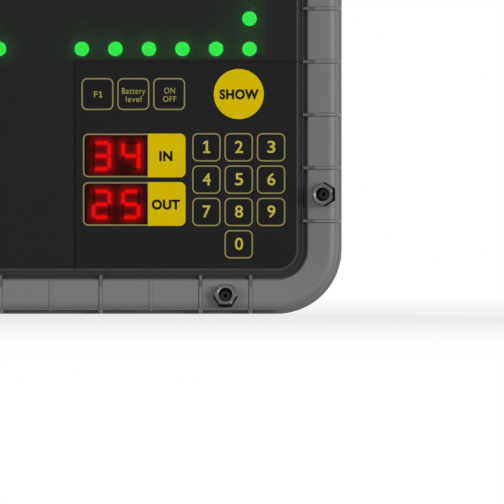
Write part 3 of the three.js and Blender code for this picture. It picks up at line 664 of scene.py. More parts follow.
class Workshop:
    """Makes pieces from forms and gives them to the frame."""

    smooth: ClassVar[float] = math.radians(32)  # flatter edges than this are shaded smooth
    cad_bevel: ClassVar[float] = 0.2  # on a node that keeps its CAD shape

    def __init__(self, frame: dict, palette: Palette) -> None:
        """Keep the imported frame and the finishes."""
        self.frame = frame
        self.palette = palette

    def box(self, node: str) -> Box:
        """Measure a CAD node at rest."""
        low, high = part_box(node)
        return Box(*((start / MM, end / MM) for start, end in zip(low, high)))

    def shade(self, mesh: Mesh) -> None:
        """Shade a mesh smooth, apart from its sharp edges."""
        mesh.shade_smooth()
        mesh.set_sharp_from_angle(angle=self.smooth)

    def break_edges(self, piece: Piece, width: float, segments: int) -> bpy.types.Modifier:
        """Bevel a piece's sharp edges.

        Args:
            piece: the piece.
            width: the bevel's width in millimetres.
            segments: its faces across.

        Returns:
            The modifier.
        """
        modifier = piece.modifiers.new("edge", "BEVEL")
        modifier.width = width * MM
        modifier.segments = segments
        modifier.limit_method = "ANGLE"
        return modifier

    def piece(
        self, name: str, form: Form | Mesh, material: str, bevel: float = 0.0, segments: int = 2
    ) -> Piece:
        """Make one object.

        Args:
            name: the object's name.
            form: the form, or a mesh already made.
            material: the start of the material's name.
            bevel: width of the bevel on its edges, in millimetres, or 0 for none.
            segments: the bevel's faces across.

        Returns:
            The new object.
        """
        mesh = form.mesh(name) if isinstance(form, Form) else form
        mesh.name = name
        piece = in_scene(name, mesh)
        self.shade(mesh)
        if bevel:
            modifier = self.break_edges(piece, bevel, segments)
            modifier.angle_limit = self.smooth
            modifier.harden_normals = True
        if not mesh.materials:
            mesh.materials.append(self.palette.get(material))
        return piece

    def cut(self, piece: Piece, cutter: Form, how: Cut = Cut.AWAY) -> None:
        """Cut a piece with a form, before its bevels.

        Args:
            piece: the piece.
            cutter: the form.
            how: whether the form is cut away or the rest is.
        """
        tool = self.piece("cutter", cutter, piece.data.materials[0].name)
        bevels = list(piece.modifiers)
        for bevel in bevels:
            bevel.show_viewport = False
        modifier = piece.modifiers.new("cut", "BOOLEAN")
        modifier.solver = "EXACT"
        modifier.operation = how.value
        modifier.object = tool
        mesh = applied(piece)
        piece.modifiers.remove(modifier)
        piece.data = mesh
        self.shade(mesh)
        for bevel in bevels:
            bevel.show_viewport = True
        discard(tool)

    def give(self, piece: Piece, slot: str, *nodes: str, body: str = "case") -> None:
        """Let a piece ride on a body and stand for CAD nodes, which are hidden.

        Args:
            piece: the finished piece.
            slot: the record's material slot; not used.
            nodes: CAD nodes that the piece stands for.
            body: the CAD body that it rides on.
        """
        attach(piece, body)
        if nodes:
            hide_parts(*nodes)
        log.info("%s: %d faces on %s", piece.name, len(piece.data.polygons), body)

    def put(
        self, name: str, form: Form | Mesh, material: str, slot: str, *nodes: str,
        body: str = "case", **bevel: float,
    ) -> None:
        """Make a piece that needs no cut, and give it to the frame."""
        self.give(self.piece(name, form, material, **bevel), slot, *nodes, body=body)

    def dress(self, node: str, material: str) -> None:
        """Give a CAD node that stays in view its material and small bevels.

        Args:
            node: the node's name.
            material: the start of the material's name.
        """
        piece = self.frame["nodes"][node]
        piece.data.materials.clear()
        piece.data.materials.append(self.palette.get(material))
        self.break_edges(piece, self.cad_bevel, 1)
        log.info("%s: kept from the CAD model", node)


class CopyRow:
    """A Geometry Nodes group that sets copies of one piece in a straight row."""

    inputs: ClassVar[dict[str, str]] = {
        "Piece": "Object",
        "Count": "Int",
        **{name: "Vector" for name in ("Start", "Step", "Turn")},
        "Material": "Material",
    }

    def __init__(self) -> None:
        """Build the node group."""
        group = bpy.data.node_groups.new("row_of_copies", "GeometryNodeTree")
        self.group, self.keys = group, {}
        new_socket = group.interface.new_socket
        for name, kind in self.inputs.items():
            item = new_socket(name, in_out="INPUT", socket_type=f"NodeSocket{kind}")
            self.keys[name] = item.identifier
        new_socket("Geometry", in_out="OUTPUT", socket_type="NodeSocketGeometry")
        given = add_node(group, "NodeGroupInput").outputs
        start, step = given["Start"], given["Step"]
        links = {"Count": given["Count"], "Start Location": start, "Offset": step}
        line = add_node(group, "GeometryNodeMeshLine", links, mode="OFFSET").outputs["Mesh"]
        links = {"Object": given["Piece"]}
        source = add_node(group, "GeometryNodeObjectInfo", links).outputs["Geometry"]
        turn = add_node(group, "FunctionNodeEulerToRotation", {0: given["Turn"]}).outputs[0]
        links = {"Points": line, "Instance": source, "Rotation": turn}
        copies = add_node(group, "GeometryNodeInstanceOnPoints", links).outputs["Instances"]
        solid = add_node(group, "GeometryNodeRealizeInstances", {0: copies}).outputs[0]
        links = {"Geometry": solid, "Material": given["Material"]}
        painted = add_node(group, "GeometryNodeSetMaterial", links).outputs["Geometry"]
        add_node(group, "NodeGroupOutput", {"Geometry": painted})

    def mesh(
        self, master: Piece, count: int, start: Point, step: Point = (0, 0, 0),
        turn: Euler = Euler(),
    ) -> Mesh:
        """Make one row as a plain mesh.

        Args:
            master: the piece that is copied, with its material.
            count: how many copies.
            start: place of the first, in millimetres.
            step: distance to the next, in millimetres.
            turn: how each copy is turned.

        Returns:
            The row as one mesh.
        """
        host = in_scene("row", bpy.data.meshes.new("row"))
        modifier = host.modifiers.new("row", "NODES")
        modifier.node_group = self.group
        values = {
            "Piece": master, "Count": count, "Start": [c * MM for c in start],
            "Step": [c * MM for c in step], "Turn": list(turn),
            "Material": master.data.materials[0],
        }
        for name, value in values.items():
            modifier[self.keys[name]] = value
        host.update_tag()
        mesh = applied(host)
        host.modifiers.remove(modifier)
        discard(host)
        return mesh


def merged(name: str, meshes: list[Mesh]) -> Mesh:
    """Join plain meshes of one material into one.

    Args:
        name: the new mesh's name.
        meshes: the meshes, which are removed.

    Returns:
        The joined mesh.
    """
    points, faces, marks = [], [], {}
    for mesh in meshes:
        start = len(points)
        points += [tuple(vertex.co) for vertex in mesh.vertices]
        faces += [tuple(start + i for i in face.vertices) for face in mesh.polygons]
        for mark in MARKS:
            if mark in mesh.attributes:
                values = [item.value for item in mesh.attributes[mark].data]
                marks.setdefault(mark, []).extend(values)
    whole = plain_mesh(name, points, faces, marks)
    whole.materials.append(meshes[0].materials[0])
    for mesh in meshes:
        bpy.data.meshes.remove(mesh)
    return whole


# The case


class Edge(Enum):
    """The board's four edges, with the turn that lays each one at the bottom."""

    BOTTOM = 0.0
    RIGHT = -QUARTER
    TOP = 2 * QUARTER
    LEFT = QUARTER


@dataclass(frozen=True)
class Row:
    """Places along one edge at equal steps."""

    edge: Edge
    count: int
    first: float
    step: float


@dataclass(frozen=True)
class Outline:
    """The board's rounded outline and the loops that run round it."""

    width: float = 784.2
    height: float = 460.0
    radius: float = 45.0
    steps: int = 20

    def loop(self, inset: float, depth: float) -> list[Point]:
        """List the points of the outline moved in by an inset, at one depth."""
        size = (self.width - 2 * inset, self.height - 2 * inset)
        flat = rounded(*size, self.radius - inset, self.steps, z=self.height / 2)
        return [(x, depth, z) for x, z in flat]

    def swept(self, section: list[Flat], closed: bool) -> Form:
        """Sweep a section of inset and depth round the board.

        Args:
            section: inset and depth of each loop.
            closed: whether the section closes on itself; if not, flat faces fill both ends.

        Returns:
            The swept form.
        """
        return Form().grid([self.loop(*place) for place in section], loop=closed)

    def on_edge(self, edge: Edge, along: float) -> Matrix:
        """Find the matrix to the board's frame from the frame of an edge.

        Args:
            edge: the edge.
            along: distance along it from its middle.

        Returns:
            The matrix, in millimetres.
        """
        middle = Matrix.Translation((0, 0, self.height / 2))
        reach = self.width / 2 if edge in (Edge.LEFT, Edge.RIGHT) else self.height / 2
        turned = middle @ Matrix.Rotation(edge.value, 4, "Y")
        return turned @ Matrix.Translation((along, 0, -reach))


@dataclass(frozen=True)
class RimSection:
    """The front rim's section: a rolled edge and a face that slopes in to the panel."""

    lip: float = 2.8
    wall: float = 2.4
    roll: float = 5.9
    crest: float = 29.6
    slope: float = math.radians(18)
    width: float = 24.1
    seat: float = 8.3
    ledge_front: float = -20.1
    ledge_back: float = -17.1
    ledge_reach: float = 12.0
    inner_break: float = 1.0
    outer_steps: int = 12
    inner_steps: int = 6

    @property
    def slope_start(self) -> float:
        """The angle at which the roll runs into the slope."""
        return QUARTER + self.slope

    def on_slope(self, inset: float, below: float) -> Flat:
        """Find a point on the sloping face.

        Args:
            inset: how far in from the board's outline.
            below: how far under the face.

        Returns:
            The point's inset and depth.
        """
        centre, depth = self.lip + self.roll, self.roll - self.crest
        drop = (self.roll - below) / math.cos(self.slope)
        return (inset, (inset - centre) * math.tan(self.slope) + depth - drop)

    def on_roll(self, below: float, start: float, end: float, steps: int) -> list[Flat]:
        """List points on the roll.

        Args:
            below: how far under the roll's face.
            start: first angle: 0 at the outer wall, past a quarter turn at the slope.
            end: last angle.
            steps: steps between them.

        Returns:
            The inset and depth of each point.
        """
        centre = (self.lip + self.roll, self.roll - self.crest)
        return arc(centre, below - self.roll, start, end, steps)

    def whole(self) -> list[Flat]:
        """List the closed section.

        Returns:
            The inset and depth of each corner.
        """
        inner, edge = self.width - self.wall, self.inner_break
        reach = self.width + self.ledge_reach
        return [
            *self.on_roll(0, self.slope_start, 0, self.outer_steps), (self.lip, -self.seat),
            (self.lip + self.wall, -self.seat),
            *self.on_roll(self.wall, 0, self.slope_start, self.inner_steps),
            self.on_slope(inner, self.wall), (inner, self.ledge_back), (reach, self.ledge_back),
            (reach, self.ledge_front), (self.width, self.ledge_front),
            (self.width, self.on_slope(self.width, 0)[1] + edge),
            self.on_slope(self.width - edge, 0),
        ]


@dataclass(frozen=True)
class Ribs:
    """The cross ribs of the rim and of the rear edge."""

    rim: RimSection = RimSection()
    width: float = 3.2
    height: float = 0.9
    low_height: float = 0.55
    sunk: float = 0.4
    outer_face: float = 0.15
    shoulder: float = 20.0
    shoulder_turn: float = math.radians(40)
    tall_steps: int = 8
    low_steps: int = 10
    nib_reach: float = 2.9
    nib_thickness: float = 1.4
    # Painted shade on the rib's crown: the insets of the notch at its inner end, the level there
    # and over the nib, and the insets from which the crown has none
    soiled: Flat = (22.6, 19.2)
    soiling: float = 0.75
    nib_soiling: float = 0.6
    clean_from: Flat = (18.4, 13.0)
    low_span: Flat = (22.9, 16.0)
    rear_fade: Flat = (22.0, 21.8)
    long_count: int = 20
    long_pitch: float = 34.6
    side_count: int = 10
    side_pitch: float = 36.8

    # Across the rib: half width share, height share, and how much painted shade lies there, dark
    # at its feet on the rim
    profile: tuple = ((1.0, 0.0, 1.0), (0.86, 0.35, 1.0), (0.62, 0.85, 0.15), (0.42, 1.0, 0.0))

    @property
    def first(self) -> float:
        """The place of the first rib along a long edge."""
        return -(self.long_count - 1) / 2 * self.long_pitch

    def loft(self, stations: Stations) -> Form:
        """Loft a rib over stations along its length.

        Args:
            stations: base point, top point and painted shade on the crown, at each place.

        Returns:
            The rib, centred on X and pulled along its path.
        """
        across = [(-x, t, g) for x, t, g in self.profile]
        across += [(x, t, g) for x, t, g in reversed(self.profile)]
        rows, dirt = [], []
        for base, top, crown in stations:
            foot, rise = Vector(base), Vector(top) - Vector(base)
            places = [(x, foot + rise * t) for x, t, _ in across]
            rows.append([(x * self.width / 2, place.y, place.x) for x, place in places])
            dirt += [max(g, crown) for _, _, g in across]
        form = Form().grid(rows)
        form.marks["grime"] = dirt
        return form

    def sloped(self, rise: float, insets: Flat, dirt: float) -> Stations:
        """Place stations on the rim's sloping face."""
        place = self.rim.on_slope
        return [(place(inset, self.sunk), place(inset, rise), dirt) for inset in insets]

    def rolled(self, rise: float, end: float, steps: int) -> Stations:
        """Place stations without painted shade on the crown on the rim's roll, from the slope to
        an angle.
        """
        span = (self.rim.slope_start, end, steps)
        pairs = zip(self.rim.on_roll(self.sunk, *span), self.rim.on_roll(rise, *span))
        return [(base, top, 0.0) for base, top in pairs]

    def tall(self) -> Form:
        """Loft the full rib, from over the gasket to the parting lip.

        Returns:
            The rib in its edge's frame.
        """
        rim, rise, stations = self.rim, -self.height, []
        # Painted shade over the nib and in the notch at the inner end; none on the crown from
        # there out
        for inset in (rim.width + self.nib_reach, rim.width, rim.width - rim.inner_break):
            foot = (inset, rim.on_slope(inset, 0)[1] + self.nib_thickness)
            stations.append((foot, rim.on_slope(inset, rise), self.nib_soiling))
        stations += self.sloped(rise, self.soiled, self.soiling)
        stations += self.sloped(rise, self.clean_from, 0.0)
        stations += self.rolled(rise, self.shoulder_turn, self.tall_steps)
        inner, outer = rim.lip + self.sunk, self.outer_face
        ends = (-self.shoulder, -rim.seat)
        stations += [((inner, depth), (outer, depth), 0.0) for depth in ends]
        return self.loft(stations)

    def low(self) -> Form:
        """Loft the low rib between two tall ones.

        Returns:
            The rib in its edge's frame.
        """
        rise, lip, depth = -self.low_height, self.rim.lip, -self.rim.seat
        stations = self.sloped(rise, self.low_span, 0.0) + self.rolled(rise, 0.0, self.low_steps)
        return self.loft([*stations, ((lip + self.sunk, depth), (lip + rise, depth), 0.0)])

    def rear(self) -> Form:
        """Loft the rib behind the lip, on the rear edge.

        Returns:
            The rib in its edge's frame.
        """
        inner, (foot, top) = self.rim.lip + self.sunk, self.rear_fade
        depths = (self.rim.seat - OVERRUN, self.shoulder)
        stations = [((inner, depth), (self.outer_face, depth), 0.0) for depth in depths]
        return self.loft([*stations, ((inner, foot), (self.rim.lip, top), 0.0)])

    def all_rows(self) -> list[Row]:
        """List a row of ribs for each edge.

        Returns:
            The four rows.
        """
        long = (self.long_count, self.first, self.long_pitch)
        short = (self.side_count, -(self.side_count - 1) / 2 * self.side_pitch, self.side_pitch)
        rows = [Row(edge, *long) for edge in (Edge.BOTTOM, Edge.TOP)]
        return rows + [Row(edge, *short) for edge in (Edge.LEFT, Edge.RIGHT)]

    def front_rows(self, low: bool) -> list[Row]:
        """List the rows of low ribs, or of tall ones: on long edges they take turns.

        Args:
            low: whether the low ribs are listed.

        Returns:
            The rows.
        """
        rows = [row for row in self.all_rows() if row.edge in (Edge.LEFT, Edge.RIGHT) and not low]
        first, step, count = self.first, 2 * self.long_pitch, self.long_count // 4
        for edge in (Edge.BOTTOM, Edge.TOP):
            for side in (1, -1):
                if low:
                    rows.append(Row(edge, count - 1, side * (first + step), side * step))
                else:
                    start = side * (first + self.long_pitch)
                    rows.append(Row(edge, count, start, side * step))
            if not low:
                rows.append(Row(edge, 2, first, -2 * first))
        return rows


@dataclass
class Case:
    """The grey case: front rim, rear shell, battery box, ribs and gasket."""

    shop: Workshop
    copies: CopyRow
    outline: Outline = Outline()
    ribs: Ribs = Ribs()
    shell_depth: float = 30.0
    shell_wall: float = 3.0
    shell_round: float = 8.0
    shell_steps: int = 10
    inner_steps: int = 6
    lip_depth: float = 8.0
    lip_round: float = 0.7
    lip_steps: int = 3
    cut_depth: float = 20.0
    hollow: Box = Box((-76.6, 76.6), (-8.6, 26.7), (48.4, 115.6))
    box_wall: float = 2.4
    box_flange: float = 2.0
    box_corner: float = 1.0
    box_steps: int = 3
    socket_hole: float = 8.3
    socket_sides: int = 40
    gasket_span: Flat = (24.4, 30.4)
    gasket_depths: Flat = (-22.2, -20.4)
    bead_radius: float = 0.95
    bead_sunk: float = 0.25
    bead_past: float = 0.26
    bead_steps: int = 8

    def round_board(
        self, name: str, form: Form, material: str, rows: list[Row], seat: Matrix
    ) -> Mesh:
        """Copy one form along the board's edges.

        Args:
            name: the mesh's name.
            form: the form in the frame of its seat.
            material: the start of the material's name.
            rows: the rows that it stands in.
            seat: where each copy sits in its edge's frame.

        Returns:
            All copies as one mesh.
        """
        master = self.shop.piece(f"{name}_master", form, material)
        meshes = []
        for row in rows:
            edge = self.outline.on_edge(row.edge, row.first)
            place, step = edge @ seat, edge.to_3x3() @ Vector((row.step, 0, 0))
            start, turn = place.to_translation(), place.to_euler()
            meshes.append(self.copies.mesh(master, row.count, start, step, turn))
        discard(master)
        return merged(name, meshes)

    def rib_piece(self, name: str, form: Form, rows: list[Row]) -> None:
        """Copy one kind of rib along the edges."""
        ribs = self.round_board(name, form, "polyurethane", rows, Matrix.Identity(4))
        self.shop.put(name, ribs, "polyurethane", "rim")

    def front(self) -> None:
        """Make the front rim and its ribs."""
        form = self.outline.swept(self.ribs.rim.whole(), True)
        self.shop.put("front_rim_ring", form, "polyurethane", "rim", "front_rim")
        self.rib_piece("front_ribs_tall", self.ribs.tall(), self.ribs.front_rows(False))
        self.rib_piece("front_ribs_low", self.ribs.low(), self.ribs.front_rows(True))

    def rear(self) -> None:
        """Make the rear shell with its lip, openings and ribs."""
        edge, lip, soft = self.shell_round, self.lip_depth, self.lip_round
        side = self.ribs.rim.lip
        centre = (side + edge, self.shell_depth - edge)
        section = [
            *arc(centre, edge - self.shell_wall, QUARTER, 2 * QUARTER, self.inner_steps),
            (side + self.shell_wall, -lip),
            *arc((soft, soft - lip), soft, -QUARTER, -2 * QUARTER, self.lip_steps),
            *arc((soft, lip - soft), soft, 2 * QUARTER, QUARTER, self.lip_steps),
            (side, lip), *arc(centre, edge, 2 * QUARTER, QUARTER, self.shell_steps),
        ]
        form = self.outline.swept(section, False)
        shell = self.shop.piece("rear_shell_tray", form, "polyurethane")
        span = (self.cut_depth, self.shell_depth + OVERRUN)
        holes = Form().block(self.hollow.x, span, self.hollow.z)
        self.shop.cut(shell, holes.rod(self.socket_hole, span, self.socket_sides, *SOCKET))
        self.shop.give(shell, "rim", "rear_shell")
        self.rib_piece("rear_ribs", self.ribs.rear(), self.ribs.all_rows())

    def battery_box(self) -> None:
        """Make the box round the battery, with its flange."""
        whole, hollow = self.shop.box("battery_box"), self.hollow
        (front, back), wall = whole.y, self.box_wall
        step = back - self.box_flange
        loops = [
            (hollow, -wall, front), (hollow, -wall, step), (whole, 0.0, step), (whole, 0.0, back),
            (hollow, 0.0, back), (hollow, 0.0, front + wall),
        ]
        rows = [
            [(x, depth, z) for x, z in box.outline(inset, self.box_corner, self.box_steps)]
            for box, inset, depth in loops
        ]
        walls = Form().grid(rows)
        self.shop.put("battery_box_walls", walls, "polyurethane", "rim", "battery_box")

    def gasket(self) -> None:
        """Make the sealing strip with its round bead."""
        (outer, inner), (front, back) = self.gasket_span, self.gasket_depths
        centre, past = ((outer + inner) / 2, front + self.bead_sunk), self.bead_past
        bead = arc(centre, self.bead_radius, past, -2 * QUARTER - past, self.bead_steps)
        section = [(outer, front), (outer, back), (inner, back), (inner, front), *bead]
        strip = self.outline.swept(section, True)
        self.shop.put("gasket_strip", strip, "epdm", "gasket", "panel_gasket")

    def build(self) -> None:
        """Make the whole case."""
        self.front()
        self.rear()
        self.battery_box()
        self.gasket()


# Studs and nuts


@dataclass
class Bolting:
    """The studs and lock nuts that close the case."""

    shop: Workshop
    case: Case
    seat_inset: float = 11.3
    stud: float = 4.0
    foot: float = 3.0
    foot_step: float = 2.5
    foot_depth: float = 8.2
    tip: float = 4.6
    tip_chamfer: float = 0.5
    dimple: float = 1.3
    dimple_depth: float = 2.2
    stud_sides: int = 32
    flats: float = 14.4
    nut_height: float = 8.0
    corner_loss: float = 0.35
    chamfer: float = 0.6
    mouth: float = 5.8
    throat: float = 4.9
    recess: float = 4.5
    recess_depth: float = 3.4
    bore: float = 4.3
    nut_sides: int = 48
    # How dark a nut is painted: painted shade on its sides, seat, bore and recess floor; its front
    # and throat darkened less
    side_dirt: float = 0.84
    front_dirt: float = 0.62
    throat_dirt: float = 0.3
    floor_dirt: float = 0.8
    bottom_studs: int = 3

    def stud_form(self) -> Form:
        """Turn a stud.

        Returns:
            The stud, its seat at zero and its dimpled end to the front.
        """
        crest, end = self.stud, -self.tip
        profile = [
            (AXIS, self.foot_depth), (self.foot, self.foot_depth), (self.foot, self.foot_step),
            (crest, self.foot_step), (crest, end + self.tip_chamfer),
            (crest - self.tip_chamfer, end), (self.dimple, end), (AXIS, end + self.dimple_depth),
        ]
        return Form().turned(profile, self.stud_sides)

    def nut_form(self) -> Form:
        """Make a hexagon nut with broken corners and a round recess in its front.

        Returns:
            The nut, its seat at zero.
        """
        apothem, sides, sixth = self.flats / 2, self.nut_sides, math.pi / 3
        reach, limit = apothem / math.cos(sixth / 2), apothem - self.corner_loss
        seat, front = -GAP, -GAP - self.nut_height
        floor = front + self.recess_depth
        # Depth, largest radius, and how dark it is painted: painted shade on the seat, sides,
        # recess floor and bore, less on the front and throat
        levels = [
            (seat, limit, 1.0), (seat - self.chamfer, reach, self.side_dirt),
            (front + self.chamfer, reach, self.side_dirt), (front, limit, self.front_dirt),
            (front, self.mouth, self.front_dirt),
            (front + self.chamfer, self.throat, self.throat_dirt),
            (floor, self.recess, self.floor_dirt), (floor, self.bore, 1.0), (seat, self.bore, 1.0),
        ]
        rows = [[] for _ in levels]
        for turn in (2 * math.pi * i / sides for i in range(sides)):
            to_flat = (turn + sixth / 2) % sixth - sixth / 2
            for row, (depth, most, _) in zip(rows, levels):
                radius = min(apothem / math.cos(to_flat), most)
                row.append((radius * math.sin(turn), depth, radius * math.cos(turn)))
        form = Form().grid(rows, loop=True)
        form.marks["grime"] = [dirt for _, _, dirt in levels for _ in range(sides)]
        return form

    def rows(self) -> list[Row]:
        """List the rows of studs, each on the place of a rib.

        Returns:
            The four rows.
        """
        ribs = self.case.ribs
        along = (ribs.long_count / 2 - 1) * ribs.long_pitch
        side = (ribs.side_count / 2 - 1) * ribs.side_pitch
        rows = [Row(edge, self.bottom_studs, along, -along) for edge in (Edge.BOTTOM, Edge.TOP)]
        return rows + [Row(edge, 2, -side, 2 * side) for edge in (Edge.RIGHT, Edge.LEFT)]

    def build(self) -> None:
        """Make all studs and nuts."""
        rim, rows = self.case.ribs.rim, self.rows()
        inset, depth = rim.on_slope(self.seat_inset, 0)
        seat = Matrix.Translation((0, depth, inset)) @ Matrix.Rotation(-rim.slope, 4, "X")
        count = sum(row.count for row in rows)
        for name, form, material, slot, node in (
            ("studs", self.stud_form(), "steel_stud", "steel", "stud"),
            ("lock_nuts", self.nut_form(), "steel_nut", "nut", "lock_nut"),
        ):
            mesh = self.case.round_board(name, form, material, rows, seat)
            nodes = [f"{node}_{i}" for i in range(1, count + 1)]
            self.shop.put(name, mesh, material, slot, *nodes)


# Face of the board: sheet, key field, keys and readouts

# The digit 1 with its flag and foot, in shares of its width and height
ONE = (
    (0.0, 0.0), (1.0, 0.0), (1.0, 0.14), (0.68, 0.14), (0.68, 1.0), (0.44, 1.0), (0.0, 0.86),
    (0.0, 0.7), (0.36, 0.81), (0.36, 0.14), (0.0, 0.14),
)

# The strokes that each figure lights, from 0 to 9
LIT = "abcdef bc abdeg abcdg bcfg acdfg acdefg abc abcdefg abcdfg".split()


@dataclass(frozen=True)
class Word:
    """Printed letters: their middle from the middle of what they stand on, and their size."""

    text: str
    right: float
    up: float
    width: float
    height: float
    bold: float = 0.0


@dataclass(frozen=True)
class Key:
    """One key cap with its words."""

    node: str
    size: float
    words: tuple[Word, ...]
    ink: str
    round: bool = False
    corner: float = 4.0
    corner_steps: int = 8
    round_steps: int = 32

    def outline(self, middle: Point, grow: float) -> list[Flat]:
        """List the points of the cap's outline.

        Args:
            middle: the cap's middle.
            grow: how far the outline is moved outwards.

        Returns:
            X and Z of each point.
        """
        x, _, z = middle
        side = self.size + 2 * grow
        if self.round:
            return rounded(side, side, side / 2, self.round_steps, x, z)
        return rounded(side, side, self.corner + grow, self.corner_steps, x, z)


@dataclass(frozen=True)
class Strokes:
    """The places of a small digit's seven strokes."""

    half_width: float = 5.4
    half_height: float = 9.0

    def places(self) -> dict[str, tuple[Point, bool]]:
        """Place the strokes.

        Returns:
            Each stroke's middle, from the digit's middle, and whether it stands.
        """
        wide, tall, half = self.half_width, self.half_height, self.half_height / 2
        level = {name: ((0, up), False) for name, up in (("a", tall), ("g", 0), ("d", -tall))}
        sides = {"b": (wide, half), "c": (wide, -half), "e": (-wide, -half), "f": (-wide, half)}
        return level | {name: (place, True) for name, place in sides.items()}


@dataclass(frozen=True)
class Readout:
    """One small readout: its name, the word on its yellow field and its number."""

    name: str
    word: Word
    number: int


@dataclass
class KeyField:
    """The smoked sheet, the key field's plate, keys, prints and readouts."""

    shop: Workshop
    outline: Outline
    front: float = -23.4
    back: float = -20.4
    inset: float = 30.7
    sawn: float = 0.25
    sawn_width: float = 0.25
    seam: float = 0.6
    tape: float = 5.0
    tape_front: float = -20.3
    tape_back: float = -20.0
    corner_piece: Box = Box((207.2, 400.0), (-25.0, -19.0), (0.0, 174.5))
    print_rise: float = 0.04
    line: float = 0.98
    line_inset: float = 0.55
    digit_key: float = 19.9
    function_key: float = 22.4
    show_key: float = 34.8
    cap_front: float = -23.8
    cap_back: float = -19.1
    cap_bevel: float = 0.2
    flange: float = 0.7
    flange_front: float = -20.1
    letter_bold: float = 0.048
    letter_space: float = 1.1
    letter_extrude: float = 0.01
    digit_bold: float = 0.012
    digit_width: float = 5.6
    one_width: float = 4.9
    digit_height: float = 8.5
    digit_place: Flat = (0.2, 0.3)
    post: float = 2.5
    post_end: float = -15.1
    post_sides: int = 20
    post_columns: Flat = (215.2, 293.2)
    post_rows: Flat = (48.3, 168.9)
    lens_corner: float = 0.9
    lens_bevel: float = 0.15
    block_corner: float = 1.2
    block_bevel: float = 0.2
    block_back: float = -15.1
    digit_pitch: float = 20.3
    stroke: float = 2.5
    stroke_length: float = 8.5
    thin_stroke: float = 1.5
    stroke_round: float = 0.48
    stroke_steps: int = 4
    lean: float = 0.02
    glow_cell: float = 0.8
    glow_reach: float = 2.0
    frame_left: float = 212.6
    frame_right: float = 283.7
    frame_above: float = 15.4
    frame_below: float = 14.9
    frame_corner: float = 3.8
    field_left: float = 257.6
    word_middle: float = 270.1
    strokes: Strokes = Strokes()

    def keys(self) -> list[Key]:
        """List the keys with their words.

        Returns:
            The four function keys and the ten digit keys.
        """
        f1 = (Word("F", -1.1, -0.2, 2.6, 4.2), Word("1", 2.2, -0.2, 2.3, 4.2))
        level = (Word("Battery", 0.2, 1.5, 16.2, 5.5), Word("level", 0.2, -3.5, 10.7, 3.9))
        power = (Word("ON", 0.3, 2.4, 7.4, 4.1), Word("OFF", 0.3, -3.4, 9.1, 4.0))
        show = (Word("SHOW", 0.3, -0.2, 27.2, 7.2, self.letter_bold),)
        words = {"key_f1": f1, "key_battery": level, "key_power": power}
        listed = [Key(node, self.function_key, pair, "ink_word") for node, pair in words.items()]
        listed.append(Key("key_show", self.show_key, show, "ink_letter", round=True))
        for digit in "0123456789":
            width = self.one_width if digit == "1" else self.digit_width
            word = Word(digit, *self.digit_place, width, self.digit_height, self.digit_bold)
            listed.append(Key(f"key_{digit}", self.digit_key, (word,), "ink_digit"))
        return listed

    def readouts(self) -> list[Readout]:
        """List the two readouts."""
        return [
            Readout("in", Word("IN", 0, -0.2, 9.2, 7.1, self.letter_bold), 34),
            Readout("out", Word("OUT", 0, -0.2, 19.6, 7.1, self.letter_bold), 25),
        ]

    def letters(self, word: Word, middle: Flat, depth: float) -> Mesh:
        """Make flat letters that fill the word's size.

        Args:
            word: the letters and their size.
            middle: X and Z that the word is placed from.
            depth: Y of the letters' front.

        Returns:
            The letters as a mesh in metres.
        """
        x, z = middle[0] + word.right, middle[1] + word.up
        if word.text == "1":
            shape = [
                (x + (across - 0.5) * word.width, z + (up - 0.5) * word.height)
                for across, up in ONE
            ]
            return Form().prism(shape, (depth, depth + self.print_rise)).mesh(word.text)
        curve = bpy.data.curves.new(word.text, "FONT")
        curve.body = word.text
        curve.offset = word.bold
        curve.extrude = self.letter_extrude
        curve.space_character = self.letter_space
        host = in_scene(word.text, curve)
        mesh = applied(host)
        bpy.data.objects.remove(host)
        low, high = (
            [least(v.co[i] for v in mesh.vertices) for i in range(3)] for least in (min, max)
        )
        size = [end - start for start, end in zip(low, high)]
        shares = (word.width / size[0], word.height / size[1], self.print_rise / size[2])
        middles = [-(a + b) / 2 for a, b in zip(low[:2], high[:2])]
        scaled = Matrix.Diagonal((*shares, 1.0)) @ Matrix.Translation((*middles, -high[2]))
        upright = Matrix.Translation((x, depth, z)) @ Matrix.Rotation(QUARTER, 4, "X")
        mesh.transform(Matrix.Scale(MM, 4) @ upright @ scaled)
        return mesh

    def ring(self, inner: list[Flat], outer: list[Flat]) -> Form:
        """Make a flat printed ring between two outlines."""
        near, far = self.front - self.print_rise, self.front + self.print_rise
        loops = [(inner, near), (outer, near), (outer, far), (inner, far)]
        return Form().grid([[(x, y, z) for x, z in line] for line, y in loops], loop=True)

    def key(self, key: Key) -> None:
        """Make one key cap and its prints.

        Args:
            key: the key.
        """
        name, middle = key.node, self.shop.box(key.node).middle
        slot, finish = ("show_key", "ink_field") if key.round else ("panel", "silicone")
        cap = Form().prism(key.outline(middle, 0), (self.cap_front, self.cap_back))
        self.shop.put(f"{name}_cap", cap, finish, slot, name, body=name, bevel=self.cap_bevel)
        depths = (self.flange_front, self.cap_back)
        made = [("flange", Form().prism(key.outline(middle, self.flange), depths), "silicone")]
        if not key.round:
            growths = [side * self.line / 2 - self.line_inset for side in (-1, 1)]
            ring = self.ring(*(key.outline(middle, grow) for grow in growths))
            shift = Matrix.Translation((0, self.cap_front - self.front, 0))
            made.append(("outline", ring.moved(shift), "ink_outline"))
        for i, word in enumerate(key.words):
            letters = self.letters(word, (middle[0], middle[2]), self.cap_front - self.print_rise)
            made.append((f"letters_{i + 1}", letters, key.ink))
        for kind, shape, finish in made:
            self.shop.put(f"{name}_{kind}", shape, finish, slot, body=name)

